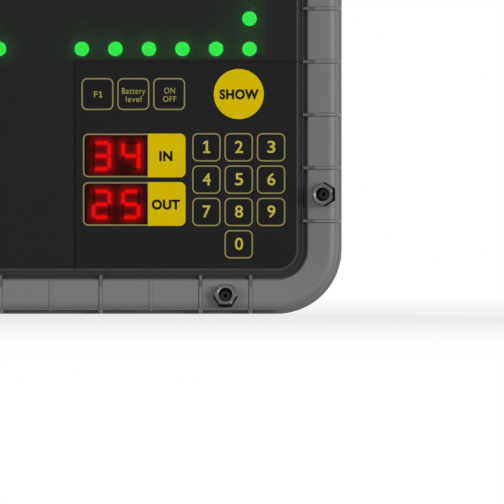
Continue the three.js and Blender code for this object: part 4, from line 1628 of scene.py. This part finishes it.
    def sheets(self) -> None:
        """Make the smoked sheet and the key field's plate, each with its sawn edge, paler partly
        as a painted highlight.
        """
        inset, sawn, front, back = self.inset, self.sawn, self.front, self.back
        inner = inset + sawn + self.sawn_width
        section = [(inner, front), (inner, back)]
        edge = [(inset + sawn, front), (inset, front + sawn), (inset, back)]
        edge = [section[0], *edge, section[1]]
        kept, (x, y, z) = self.corner_piece, self.corner_piece.sides
        holes = Form()
        for key in self.keys():
            holes.prism(key.outline(self.shop.box(key.node).middle, GAP), y)
        for readout in self.readouts():
            lens = self.shop.box(f"readout_{readout.name}_lens")
            holes.prism(lens.outline(-GAP, self.block_corner), y)
        around = Form().block((x[0] - self.seam, x[1]), y, (z[0], z[1] + self.seam))
        for name, finish, node, cutter, how in (
            ("smoked_sheet", "acrylic_sheet", "front_panel", around, Cut.AWAY),
            ("key_field_plate", "polycarbonate", "control_plate", kept.form(), Cut.TO_SHAPE),
        ):
            plate = self.shop.piece(name, self.outline.swept(section, False), finish)
            self.shop.cut(plate, cutter, how)
            if node == "control_plate":
                self.shop.cut(plate, holes)
            self.shop.give(plate, "panel", node)
            # The sawn edge: a paler strip, partly a painted highlight of the light it catches
            rim = self.shop.piece(f"{name}_edge", self.outline.swept(edge, True), "acrylic_edge")
            self.shop.cut(rim, cutter, how)
            self.shop.give(rim, "panel")

    def supports(self) -> None:
        """Make the plate's posts and the black tape behind the seam."""
        posts = Form()
        for x in self.post_columns:
            for z in self.post_rows:
                posts.rod(self.post, (self.back, self.post_end), self.post_sides, x, z)
        self.shop.put("key_field_posts", posts, "polycarbonate", "panel")
        (left, _), _, (_, top) = self.corner_piece.sides
        end, half = self.outline.width / 2 - self.inset, self.tape / 2
        strip = [
            (left - half, self.inset), (left + half, self.inset), (left + half, top - half),
            (end, top - half), (end, top + half), (left - half, top + half),
        ]
        tape = Form().prism(strip, (self.tape_front, self.tape_back))
        self.shop.put("seam_tape", tape, "epdm", "panel")

    def glow(self, place: Vector, bars: list[tuple[Vector, Vector]]) -> float:
        """Find the painted glow at a place from its distance to the nearest lit stroke.

        Args:
            place: X and Z of the place.
            bars: the start and the run of each lit stroke's middle line.

        Returns:
            The glow, 1 on a stroke.
        """
        away = []
        for start, along in bars:
            share = max(0.0, min(1.0, (place - start).dot(along) / along.length_squared))
            away.append((place - start - along * share).length)
        return math.exp(-max(0.0, min(away) - self.stroke / 2) / self.glow_reach)

    def digits(
        self, number: int, middle: Point, front: float
    ) -> tuple[dict[str, Form], list[tuple[Vector, Vector]]]:
        """Make the strokes of a readout's two digits.

        Args:
            number: the number that is lit.
            middle: the window's middle.
            front: Y of the strokes' front.

        Returns:
            The lit and the unlit strokes, and the start and the run of each lit one.
        """
        forms, bars, half = {"lit": Form(), "unlit": Form()}, [], self.stroke_length / 2
        for side, figure in zip((-0.5, 0.5), str(number)):
            for stroke, ((right, up), stands) in self.strokes.places().items():
                lit = stroke in LIT[int(figure)]
                x = middle[0] + side * self.digit_pitch + right + up * self.lean
                z = middle[2] + up
                thick = self.stroke if lit else self.thin_stroke
                reach = (0, half) if stands else (half, 0)
                size = [max(thick, 2 * r) for r in reach]
                bar = rounded(*size, thick * self.stroke_round, self.stroke_steps, x, z)
                forms["lit" if lit else "unlit"].prism(bar, (front, front + GAP))
                if lit:
                    core = Vector(reach) * (1 - thick / 2 / half)
                    bars.append((Vector((x, z)) - core, 2 * core))
        return forms, bars

    def readout(self, readout: Readout) -> None:
        """Make one readout.

        Args:
            readout: its name, word and number.
        """
        name = f"readout_{readout.name}"
        lens, block = (self.shop.box(f"{name}_{node}") for node in ("lens", "module"))
        window = Form().prism(lens.outline(0, self.lens_corner), lens.y)
        finish, bevel = "acrylic_filter", self.lens_bevel
        self.shop.put(f"{name}_window", window, finish, "red_lens", f"{name}_lens", bevel=bevel)
        front, slot, bevel = block.y[0], "readout_body", self.block_bevel
        body = Form().prism(block.outline(0, self.block_corner), (front + GAP, self.block_back))
        self.shop.put(f"{name}_block", body, "resin_block", slot, f"{name}_module", bevel=bevel)
        forms, bars = self.digits(readout.number, lens.middle, front)
        # Painted glow: a sheet at the block's face whose light fades away from the lit strokes
        haze = glowing_sheet(
            block.x, block.z, front + GAP / 2, self.glow_cell, lambda place: self.glow(place, bars)
        )
        self.shop.put(f"{name}_lit", forms["lit"].marked("glow", 1.0), "led_segment_lit", slot)
        self.shop.put(f"{name}_unlit", forms["unlit"], "led_segment_unlit", slot)
        self.shop.put(f"{name}_haze", haze, "led_haze", slot)
        self.frame_print(readout, lens.middle[2])

    def frame_print(self, readout: Readout, level: float) -> None:
        """Print the readout's outline and its yellow field with the word.

        Args:
            readout: its name and word.
            level: the height of its window's middle.
        """
        high, low = level + self.frame_above, level - self.frame_below
        left, right, split = self.frame_left, self.frame_right, self.field_left
        frame = Box((left, right), (self.front, self.front), (low, high))
        lines = [frame.outline(inset, self.frame_corner - inset) for inset in (self.line, 0.0)]
        corners = [(x, z) for x, z in lines[1] if x > split]
        corners.sort(key=lambda place: -place[1])
        depths = (self.front - 2 * self.print_rise, self.front + self.print_rise)
        patch = Form().prism([*corners, (split, low), (split, high)], depths)
        depth = depths[0] - self.print_rise
        letters = self.letters(readout.word, (self.word_middle, level), depth)
        for kind, shape, finish in (
            ("frame", self.ring(*lines), "ink_outline"),
            ("field", patch, "ink_field"),
            ("letters", letters, "ink_letter"),
        ):
            self.shop.put(f"readout_{readout.name}_{kind}", shape, finish, "panel")

    def build(self) -> None:
        """Make the whole face."""
        self.sheets()
        self.supports()
        for key in self.keys():
            self.key(key)
        for readout in self.readouts():
            self.readout(readout)


# Large digits behind the smoked sheet


@dataclass
class Display:
    """The large digits: lamps on their circuit boards."""

    shop: Workshop
    copies: CopyRow
    columns: int = 6
    rows: int = 11
    column_pitch: float = 23.3
    margin: float = 12.0
    lamp_radius: float = 4.6
    lamp_flange: float = 0.4
    flange_height: float = 1.0
    lamp_tip: float = -19.9
    lamp_sides: int = 14
    dome_turn: float = 0.95 * QUARTER
    dome_steps: int = 4
    board_thickness: float = 1.6
    board_corner: float = 2.0
    board_steps: int = 4
    spacer: float = 3.0
    spacer_inset: float = 6.0
    spacer_sides: int = 16
    haze_cell: float = 3.0
    haze_reach: float = 5.0

    def lamp(self, foot: float) -> Form:
        """Turn one domed lamp with its flange.

        Args:
            foot: Y of the board's front, where the lamp's foot comes.

        Returns:
            The lamp, its foot at zero and its tip to the front.
        """
        radius, length = self.lamp_radius, foot - self.lamp_tip
        dome = arc((0, radius - length), radius, -self.dome_turn, 0, self.dome_steps)
        edge, rise = radius + self.lamp_flange, -self.flange_height
        profile = [*dome, (radius, rise), (edge, rise), (edge, 0)]
        return Form().turned(profile, self.lamp_sides).marked("glow", 1.0)

    def lamps(self, wide: float, tall: float) -> list[tuple[str, Flat, Flat, int]]:
        """List the rows of lamps of one large digit.

        Args:
            wide: the digit's width between lamps.
            tall: its height between lamps.

        Returns:
            For each row, the strokes that it belongs to, its first place, its step and its count.
        """
        side, rise = wide / (self.columns - 1), tall / (self.rows - 1)
        half, middle = (self.rows - 1) // 2, tall / 2
        levels = (("a", tall), ("g", middle), ("d", 0))
        rows = [(name, (side, z), (side, 0), self.columns - 2) for name, z in levels]
        uprights = (("b", wide, middle), ("c", wide, 0), ("e", 0, 0), ("f", 0, middle))
        rows += [(name, (x, z + rise), (0, rise), half - 1) for name, x, z in uprights]
        corners = (("de", 0, 0), ("cd", wide, 0), ("efg", 0, middle))
        corners += (("bcg", wide, middle), ("af", 0, tall), ("ab", wide, tall))
        return rows + [(names, (x, z), (0, 0), 1) for names, x, z in corners]

    def set_lamps(
        self, side: str, number: int, colour: str, box: Box, foot: float
    ) -> list[Vector]:
        """Set the lamps of two digits on their board.

        Args:
            side: the board's side in node names.
            number: the two digits that are lit.
            colour: the colour of the lit lamps.
            box: the board's box.
            foot: Y of the board's front.

        Returns:
            X and Z of each lit lamp.
        """
        wide, tall = (self.columns - 1) * self.column_pitch, box.size[2] - 2 * self.margin
        firsts = (box.x[0] + self.margin, box.x[1] - self.margin - wide)
        low = box.z[0] + self.margin
        finishes = {True: f"led_dome_lit_{colour}", False: "led_dome_unlit"}
        form, piece = self.lamp(foot), self.shop.piece
        masters = {lit: piece("lamp_master", form, word) for lit, word in finishes.items()}
        meshes, bright = {True: [], False: []}, []
        for first, figure in zip(firsts, str(number)):
            for names, (x, z), (right, up), count in self.lamps(wide, tall):
                lit = any(name in LIT[int(figure)] for name in names)
                start = (first + x, foot, low + z)
                meshes[lit].append(self.copies.mesh(masters[lit], count, start, (right, 0, up)))
                if lit:
                    place, step = Vector((start[0], start[2])), Vector((right, up))
                    bright += [place + step * i for i in range(count)]
        for lit, rows in meshes.items():
            discard(masters[lit])
            name = f"lamps_{side}_{'lit' if lit else 'unlit'}"
            self.shop.put(name, merged(name, rows), finishes[lit], "circuit")
        return bright

    def spill(self, place: Vector, bright: list[Vector]) -> float:
        """Find the painted light on the board at a place from the nearest lit lamp."""
        away = min((place - lamp).length for lamp in bright) - self.lamp_radius
        return math.exp(-max(0.0, away) / self.haze_reach)

    def board(self, side: str, number: int, colour: str) -> None:
        """Make one board with two large digits.

        Args:
            side: the board's side in node names.
            number: the two digits that are lit.
            colour: the colour of the lit lamps.
        """
        node = f"display_board_{side}"
        box = self.shop.box(node)
        foot, inset = box.y[1] - self.board_thickness, self.spacer_inset
        corner = box.outline(0, self.board_corner, self.board_steps)
        form = Form().prism(corner, (foot, box.y[1]))
        for x in (box.x[0] + inset, box.x[1] - inset):
            for z in (box.z[0] + inset, box.z[1] - inset):
                form.rod(self.spacer, (box.y[0], foot), self.spacer_sides, x, z)
        self.shop.put(f"lamp_board_{side}", form, "solder_mask", "circuit", node)
        bright = self.set_lamps(side, number, colour, box, foot)
        # Painted pool of light: a sheet just before the board whose light fades away from the lit
        # lamps
        spill = glowing_sheet(
            box.x, box.z, foot - GAP / 2, self.haze_cell, lambda place: self.spill(place, bright)
        )
        self.shop.put(f"lamp_spill_{side}", spill, f"led_spill_on_board_{colour}", "circuit")

    def build(self) -> None:
        """Make both boards."""
        self.board("right", 25, "green")
        self.board("left", 34, "red")


# Fittings on the back


@dataclass(frozen=True)
class Hinge:
    """A hinge's barrel and the lugs that hold its pins."""

    x: float
    depth: float
    height: float
    barrel_half: float
    radius: float
    pin: float
    pin_length: float
    lug: float
    foot: float = 30.3
    sides: int = 28
    lug_steps: int = 14

    def bar(self, radius: float, span: Flat) -> Form:
        """Make a round bar on the hinge's axis."""
        axis = Matrix.Translation((0, self.depth, self.height))
        axis = axis @ Matrix.Rotation(-QUARTER, 4, "Z")
        return Form().rod(radius, span, self.sides).moved(axis)

    def barrel(self) -> Form:
        """Make the barrel with a pin at each end."""
        half, reach = self.barrel_half, self.barrel_half + self.pin_length
        form = self.bar(self.radius, (self.x - half, self.x + half))
        return form.add(self.bar(self.pin, (self.x - reach, self.x + reach)))

    def lugs(self) -> list[tuple[Form, Form]]:
        """Make both lugs.

        Returns:
            Each lug with the bore that is cut in it.
        """
        start = self.barrel_half + GAP
        end = start + self.pin_length + GAP
        top = arc((self.depth, self.height), self.lug, QUARTER, -QUARTER, self.lug_steps)
        foot = [(self.foot, self.height + side * self.lug) for side in (-1, 1)]
        pairs = []
        for low, high in ((start, end), (-end, -start)):
            span = (self.x + low, self.x + high)
            form = Form().grid([[(x, y, z) for y, z in (*top, *foot)] for x in span])
            bore = self.bar(self.pin + GAP, (span[0] - OVERRUN, span[1] + OVERRUN))
            pairs.append((form, bore))
        return pairs


@dataclass
class BackFittings:
    """Battery door, knob, charge socket, its cap, grips, screws and battery."""

    shop: Workshop
    copies: CopyRow
    face: float = 30.3
    lug_bevel: float = 0.35
    door_half: float = 86.6
    door_heights: Flat = (30.4, 121.6)
    door_thickness: float = 3.0
    door_corner: float = 5.0
    door_bevel: float = 0.5
    door_bore_sides: int = 32
    door_hinge: Hinge = Hinge(
        x=0, depth=35.5, height=128.6, barrel_half=34, radius=4.2, pin=2.1, pin_length=7, lug=5
    )
    bar_count: int = 6
    bar_first: float = 60.0
    bar_pitch: float = 9.0
    bar_inset: float = 12.0
    bar_width: float = 2.4
    bar_rise: float = 0.8
    bar_round: float = 0.45
    bar_steps: int = 4
    bar_bevel: float = 0.3
    strip: Box = Box((-41.6, 41.6), (30.3, 32.5), (133.2, 139.2))
    strip_bevel: float = 0.4
    knob_height: float = 39.4
    knob_shaft: float = 3.0
    knob_collar: float = 4.2
    collar_end: float = 31.7
    knob_radius: float = 9.0
    knob_front: float = 33.6
    knob_plate: float = 3.0
    knob_break: float = 0.5
    knob_sides: int = 48
    knob_bar: Flat = (14.0, 4.0)
    knob_bar_round: float = 0.48
    knob_bar_steps: int = 6
    knob_end: float = 41.6
    socket_plate: Box = Box((138.0, 162.0), (30.3, 32.3), (58.0, 91.6))
    plate_corner: float = 3.0
    plate_steps: int = 6
    socket_radius: float = 8.0
    socket_span: Flat = (14.3, 31.3)
    socket_bore: float = 3.2
    socket_sides: int = 40
    socket_bevel: float = 0.3
    bore_start: float = 20.3
    pin_radius: float = 1.0
    pin_end: float = 30.3
    pin_point: float = 0.5
    pin_sides: int = 20
    cap_radius: float = 12.0
    cap_span: Flat = (32.6, 35.1)
    cap_break: float = 0.7
    cap_sides: int = 56
    cap_hinge: Hinge = Hinge(
        x=150, depth=36.5, height=88, barrel_half=5, radius=3, pin=1.5, pin_length=4, lug=3.6
    )
    grip_x: float = 300.0
    grip_z: float = 235.0
    grip_width: float = 24.0
    grip_end: float = 75.0
    grip_outer: float = 57.0
    grip_inner: float = 41.0
    grip_foot: float = 4.0
    grip_rise: float = 40.0
    grip_bar: float = 18.0
    grip_bevel: float = 1.4
    outer_bend: float = 14.0
    outer_steps: int = 10
    inner_bend: float = 8.0
    inner_steps: int = 8
    band_count: int = 7
    band_pitch: float = 9.0
    band_width: float = 2.6
    band_rise: float = 0.2
    band_bevel: float = 0.8
    screw_reach: float = 66.0
    screw_shank: float = 2.4
    screw_head: float = 4.6
    screw_start: float = 24.6
    screw_sides: int = 32
    head_foot: float = 34.6
    head_height: float = 2.6
    head_turn: float = QUARTER * 0.99
    head_steps: int = 6
    cross: Flat = (2.3, 0.45)
    cross_floor: float = 1.2
    battery_bevel: float = 2.5
    soft_segments: int = 3

    def lugs(self, name: str, hinge: Hinge, material: str, slot: str) -> None:
        """Make a hinge's lugs with their bores.

        Args:
            name: the start of the pieces' names.
            hinge: the hinge.
            material: the start of the material's name.
            slot: the record's slot.
        """
        for i, (form, bore) in enumerate(hinge.lugs()):
            lug = self.shop.piece(f"{name}_lug_{i + 1}", form, material, self.lug_bevel)
            self.shop.cut(lug, bore)
            self.shop.give(lug, slot)

    def door(self) -> None:
        """Make the battery door with its hinge, ribs and bracket."""
        (low, high), half = self.door_heights, self.door_half
        span = (self.face, self.face + self.door_thickness)
        sheet = rounded(2 * half, high - low, self.door_corner, z=(low + high) / 2)
        hinge = self.door_hinge
        neck = (-hinge.barrel_half, hinge.barrel_half)
        form = Form().prism(sheet, span)
        form.block(neck, span, (high - self.door_corner, hinge.height)).add(hinge.barrel())
        door = self.shop.piece("battery_door_panel", form, "abs_lid", self.door_bevel)
        through = (span[0] - OVERRUN, span[1] + OVERRUN)
        seat = (through[0], self.collar_end + GAP)
        for radius, depths in ((self.knob_shaft, through), (self.knob_collar, seat)):
            bore = Form().rod(radius + GAP, depths, self.door_bore_sides, 0, self.knob_height)
            self.shop.cut(door, bore)
        self.shop.give(door, "lid", "battery_door", body="battery_door")
        bars, size = Form(), (2 * (half - self.bar_inset), self.bar_width)
        depths = (span[1] - self.bar_rise, span[1] + self.bar_rise)
        for i in range(self.bar_count):
            level = self.bar_first + i * self.bar_pitch
            corner = self.bar_width * self.bar_round
            bars.prism(rounded(*size, corner, self.bar_steps, z=level), depths)
        body, bevel = "battery_door", self.bar_bevel
        self.shop.put("battery_door_ribs", bars, "abs_lid", "lid", body=body, bevel=bevel)
        strip, node = self.strip.form(), "door_hinge_bracket"
        self.shop.put("door_bracket_strip", strip, "abs_lid", "lid", node, bevel=self.strip_bevel)
        self.lugs("door_bracket", hinge, "abs_lid", "lid")

    def knob(self) -> None:
        """Make the quarter-turn knob with its finger bar."""
        front, z, soft = self.knob_front, self.knob_height, self.knob_break
        back = front + self.knob_plate
        profile = [
            (AXIS, self.face), (self.knob_collar, self.face), (self.knob_collar, self.collar_end),
            (self.knob_shaft, self.collar_end), (self.knob_shaft, front),
            (self.knob_radius - soft, front), (self.knob_radius, front + soft),
            (self.knob_radius, back - soft), (self.knob_radius - soft, back), (AXIS, back),
        ]
        base, node = Form().turned(profile, self.knob_sides, 0, z), "door_knob"
        self.shop.put("door_knob_base", base, "nylon_knob", "knob", node, body=node)
        corner = self.knob_bar[1] * self.knob_bar_round
        outline = rounded(*self.knob_bar, corner, self.knob_bar_steps, z=z)
        bar = Form().prism(outline, (back - soft, self.knob_end))
        self.shop.put("door_knob_bar", bar, "nylon_knob", "knob", body=node, bevel=soft)

    def socket(self) -> None:
        """Make the charge socket with its plate, its contact pin and its hinged cap."""
        plate, sides = self.socket_plate, self.socket_sides
        form = Form().prism(plate.outline(0, self.plate_corner, self.plate_steps), plate.y)
        form.rod(self.socket_radius, self.socket_span, sides, *SOCKET)
        piece = self.shop.piece("charge_socket_body", form, "nylon_knob", self.socket_bevel)
        depths = (self.bore_start, plate.y[1] + OVERRUN)
        self.shop.cut(piece, Form().rod(self.socket_bore, depths, sides, *SOCKET))
        self.shop.give(piece, "knob", "charge_socket")
        radius, point = self.pin_radius, self.pin_point
        end = self.pin_end
        profile = [(radius, self.bore_start - point), (radius, end - point), (radius - point, end)]
        pin = Form().turned(profile, self.pin_sides, *SOCKET)
        self.shop.put("socket_pin", pin, "steel_nut", "knob")
        self.lugs("charge_socket", self.cap_hinge, "nylon_knob", "knob")
        (front, back), soft, hinge = self.cap_span, self.cap_break, self.cap_hinge
        profile = [
            (AXIS, front), (self.cap_radius, front), (self.cap_radius, back - soft),
            (self.cap_radius - soft, back), (AXIS, back),
        ]
        cap, node = Form().turned(profile, self.cap_sides, *SOCKET), "socket_cap"
        neck = (hinge.x - hinge.barrel_half, hinge.x + hinge.barrel_half)
        cap.block(neck, self.cap_span, (SOCKET[1], hinge.height)).add(hinge.barrel())
        self.shop.put("socket_cap_lid", cap, "abs_lid", "lid", node, body=node)

    def grip_outline(self) -> list[Flat]:
        """List a grip's outline.

        Returns:
            Distance along the grip and depth of each point.
        """
        base, top = self.face, self.face + self.grip_rise
        foot, under = base + self.grip_foot, top - self.grip_bar
        outer, inner = self.grip_outer, self.grip_inner
        bend, turn = self.outer_bend, self.inner_bend
        half = [(self.grip_end, foot), (outer, foot)]
        half += arc((outer - bend, top - bend), bend, 0, QUARTER, self.outer_steps)
        low = [(self.grip_end, base), (inner, base)]
        low += arc((inner - turn, under - turn), turn, 0, QUARTER, self.inner_steps)
        return half + [(-x, y) for x, y in (*reversed(half), *low)] + low[::-1]

    def grips(self) -> None:
        """Make both hand grips with their finger bands."""
        turn = Matrix(((0, 1, 0, 0), (0, 0, 1, 0), (1, 0, 0, 0), (0, 0, 0, 1)))
        half, top = self.grip_width / 2, self.face + self.grip_rise
        rise, wide = self.band_rise, self.band_width / 2
        depths, finish = (top - self.grip_bar - rise, top + rise), "elastomer_grip"
        soft = {"bevel": self.grip_bevel, "segments": self.soft_segments}
        for side, word in ((-1, "left"), (1, "right")):
            place = Matrix.Translation((side * self.grip_x, 0, self.grip_z))
            form = Form().prism(self.grip_outline(), (-half, half)).moved(place @ turn)
            self.shop.put(f"hand_grip_{word}", form, finish, "grip", f"grip_{word}", **soft)
            bands = Form()
            for i in range(self.band_count):
                level = (i - (self.band_count - 1) / 2) * self.band_pitch
                bands.block((-half - rise, half + rise), depths, (level - wide, level + wide))
            name, bands = f"grip_bands_{word}", bands.moved(place)
            self.shop.put(name, bands, finish, "grip", bevel=self.band_bevel)

    def screws(self) -> None:
        """Make the four screws with their cross recesses."""
        foot, top = self.head_foot, self.head_foot + self.head_height
        shank, share = self.screw_shank, self.head_height / self.screw_head
        profile = [
            (AXIS, self.screw_start), (shank, self.screw_start), (shank, foot),
            *arc((0, foot), self.screw_head, 0, self.head_turn, self.head_steps),
        ]
        profile = [(r, y if y <= foot else foot + (y - foot) * share) for r, y in profile]
        screw = Form().turned(profile, self.screw_sides)
        master = self.shop.piece("screw_master", screw, "steel_nut")
        depths = (foot + self.cross_floor, top + OVERRUN)
        for x, z in (self.cross, self.cross[::-1]):
            self.shop.cut(master, Form().block((-x, x), depths, (-z, z)))
        reach = self.screw_reach
        rows = [
            self.copies.mesh(master, 2, (x, 0, self.grip_z - reach), (0, 0, 2 * reach))
            for x in (-self.grip_x, self.grip_x)
        ]
        discard(master)
        name, nodes = "grip_screws", [f"grip_screw_{i}" for i in range(1, 5)]
        self.shop.put(name, merged(name, rows), "steel_nut", "steel", *nodes)

    def battery(self) -> None:
        """Make the wrapped battery behind the door."""
        form, node = self.shop.box("battery_pack").form(), "battery_pack"
        soft = {"bevel": self.battery_bevel, "segments": self.soft_segments}
        self.shop.put("battery_wrap", form, "pvc_shrink_film", "battery", node, **soft)

    def build(self) -> None:
        """Make everything on the back."""
        self.door()
        self.knob()
        self.socket()
        self.grips()
        self.screws()
        self.battery()
        for node in ("keypad_board", "main_board"):
            self.shop.dress(node, "solder_mask")


# Floor, light and camera


@dataclass(frozen=True)
class Lamp:
    """A soft lamp: its direction, share of the light, distance, size, and if it mirrors."""

    name: str
    direction: Point
    share: float
    distance: float = 6.5
    size: float = 3.0
    mirrors: bool = False

    def hang(self, middle: Vector) -> None:
        """Hang the lamp, turned to the board.

        Args:
            middle: the board's middle.
        """
        light = bpy.data.lights.new(self.name, "AREA")
        light.shape = "DISK"
        light.size = self.size
        light.energy = self.share * (math.pi * self.distance) ** 2
        lamp = in_scene(self.name, light)
        away = Vector(self.direction).normalized()
        lamp.location = middle + away * self.distance
        lamp.rotation_euler = away.to_track_quat("Z", "Y").to_euler()
        lamp.visible_camera = False
        lamp.visible_glossy = self.mirrors


@dataclass
class Studio:
    """Pale floor, white surround, soft lamps and the camera of the photograph."""

    ambient: float = 0.2
    paper: Flat = (0.2, 0.22)
    paper_grain: float = 300.0
    floor_half: float = 14.0
    near_glow: float = 0.76
    fade: Flat = (0.5, 2.6)
    focal_mm: float = 600.0
    sensor_mm: float = 36.0
    frame_width_mm: float = 349.3
    aim: Point = (329.8, -23.4, 42.95)
    lamps: tuple[Lamp, ...] = (
        Lamp("key_lamp", (0.62, -0.77, 0.14), 0.42), Lamp("front_lamp", (-0.6, -0.8, 0.1), 0.38),
        Lamp("edge_lamp", (0.7, -0.71, 0.0), 0.5, size=2.2, mirrors=True),
        Lamp("back_lamp", (-0.45, 0.85, 0.4), 0.9),
    )

    def seen_directly(self, tree: Tree) -> Socket:
        """Tell camera, glossy and transmission rays from the others.

        Args:
            tree: the tree of the world or the floor.

        Returns:
            The socket that gives 1 for those rays.
        """
        rays = add_node(tree, "ShaderNodeLightPath").outputs
        seen = rays["Is Camera Ray"]
        for name in ("Is Glossy Ray", "Is Transmission Ray"):
            settings = {0: seen, 1: rays[name]}
            seen = add_node(tree, "ShaderNodeMath", settings, operation="MAXIMUM").outputs[0]
        return seen

    def world(self) -> None:
        """Make a surround that is white to see and gives a low even light."""
        world = bpy.data.worlds.new("white_surround")
        tree = fresh_tree(world)
        settings = {"Value": self.seen_directly(tree), "To Min": self.ambient, "To Max": 1.0}
        strength = add_node(tree, "ShaderNodeMapRange", settings).outputs["Result"]
        settings = {"Color": linear(WHITE), "Strength": strength}
        glow = add_node(tree, "ShaderNodeBackground", settings).outputs["Background"]
        add_node(tree, "ShaderNodeOutputWorld", {"Surface": glow})
        bpy.context.scene.world = world

    def paper_material(self) -> bpy.types.Material:
        """Make the floor's paper, which pales to the surround's white far from the board.

        Returns:
            The material.
        """
        material = bpy.data.materials.new("paper_floor_white")
        tree = fresh_tree(material)
        place = add_node(tree, "ShaderNodeTexCoord").outputs["Object"]
        settings = {"Vector": place, "Scale": self.paper_grain}
        grain = add_node(tree, "ShaderNodeTexNoise", settings).outputs["Fac"]
        settings = {"Value": grain, "To Min": self.paper[0], "To Max": self.paper[1]}
        tone = add_node(tree, "ShaderNodeMapRange", settings).outputs["Result"]
        sheet = add_node(tree, "ShaderNodeBsdfDiffuse", {"Color": tone}).outputs["BSDF"]
        away = add_node(tree, "ShaderNodeVectorMath", {0: place}, operation="LENGTH")
        start, end = self.fade
        settings = {"Value": away.outputs["Value"], "From Min": start, "From Max": end}
        smooth = {"interpolation_type": "SMOOTHSTEP"}
        share = add_node(tree, "ShaderNodeMapRange", settings, **smooth).outputs["Result"]
        seen = self.seen_directly(tree)
        near, far = (
            add_node(tree, "ShaderNodeMath", {0: seen, 1: level}, operation="MULTIPLY").outputs[0]
            for level in (self.near_glow, share)
        )
        glow, white = (
            add_node(tree, "ShaderNodeEmission", {"Strength": level}).outputs["Emission"]
            for level in (near, 1.0)
        )
        lit = add_node(tree, "ShaderNodeAddShader", {0: sheet, 1: glow}).outputs["Shader"]
        settings = {0: far, 1: lit, 2: white}
        mix = add_node(tree, "ShaderNodeMixShader", settings).outputs["Shader"]
        add_node(tree, "ShaderNodeOutputMaterial", {"Surface": mix})
        return material

    def floor(self) -> None:
        """Lay the floor under the board's lower edge."""
        half = self.floor_half
        corners = [(x * half, y * half, 0) for x, y in ((-1, -1), (1, -1), (1, 1), (-1, 1))]
        mesh = plain_mesh("floor", corners, [(0, 1, 2, 3)], {})
        mesh.materials.append(self.paper_material())
        in_scene("floor", mesh)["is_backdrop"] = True

    def camera(self) -> None:
        """Set the camera square to the board's face, aimed at its lower right corner."""
        data = bpy.data.cameras.new("camera")
        data.lens = self.focal_mm
        data.sensor_width = self.sensor_mm
        data.dof.use_dof = False
        camera = in_scene("camera", data)
        distance = self.frame_width_mm / self.sensor_mm * self.focal_mm
        x, y, z = self.aim
        camera.location = Vector((x, y - distance, z)) * MM
        camera.rotation_euler = (QUARTER, 0, 0)
        bpy.context.scene.camera = camera

    def build(self, middle: Vector) -> None:
        """Set up the whole studio.

        Args:
            middle: the board's middle, which the lamps are turned to.
        """
        bpy.context.scene.view_settings.view_transform = "Standard"
        self.world()
        self.floor()
        for lamp in self.lamps:
            lamp.hang(middle)
        self.camera()


def main() -> None:
    logging.basicConfig(level=logging.INFO, format="%(message)s")
    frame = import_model()
    cad_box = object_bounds()
    low, high = cad_box
    Studio().build((Vector(low) + Vector(high)) / 2)
    shop, copies = Workshop(frame, Palette()), CopyRow()
    case = Case(shop, copies)
    face = (KeyField(shop, case.outline), Display(shop, copies))
    for part in (case, Bolting(shop, case), *face, BackFittings(shop, copies)):
        part.build()


if __name__ == "__main__":
    main()
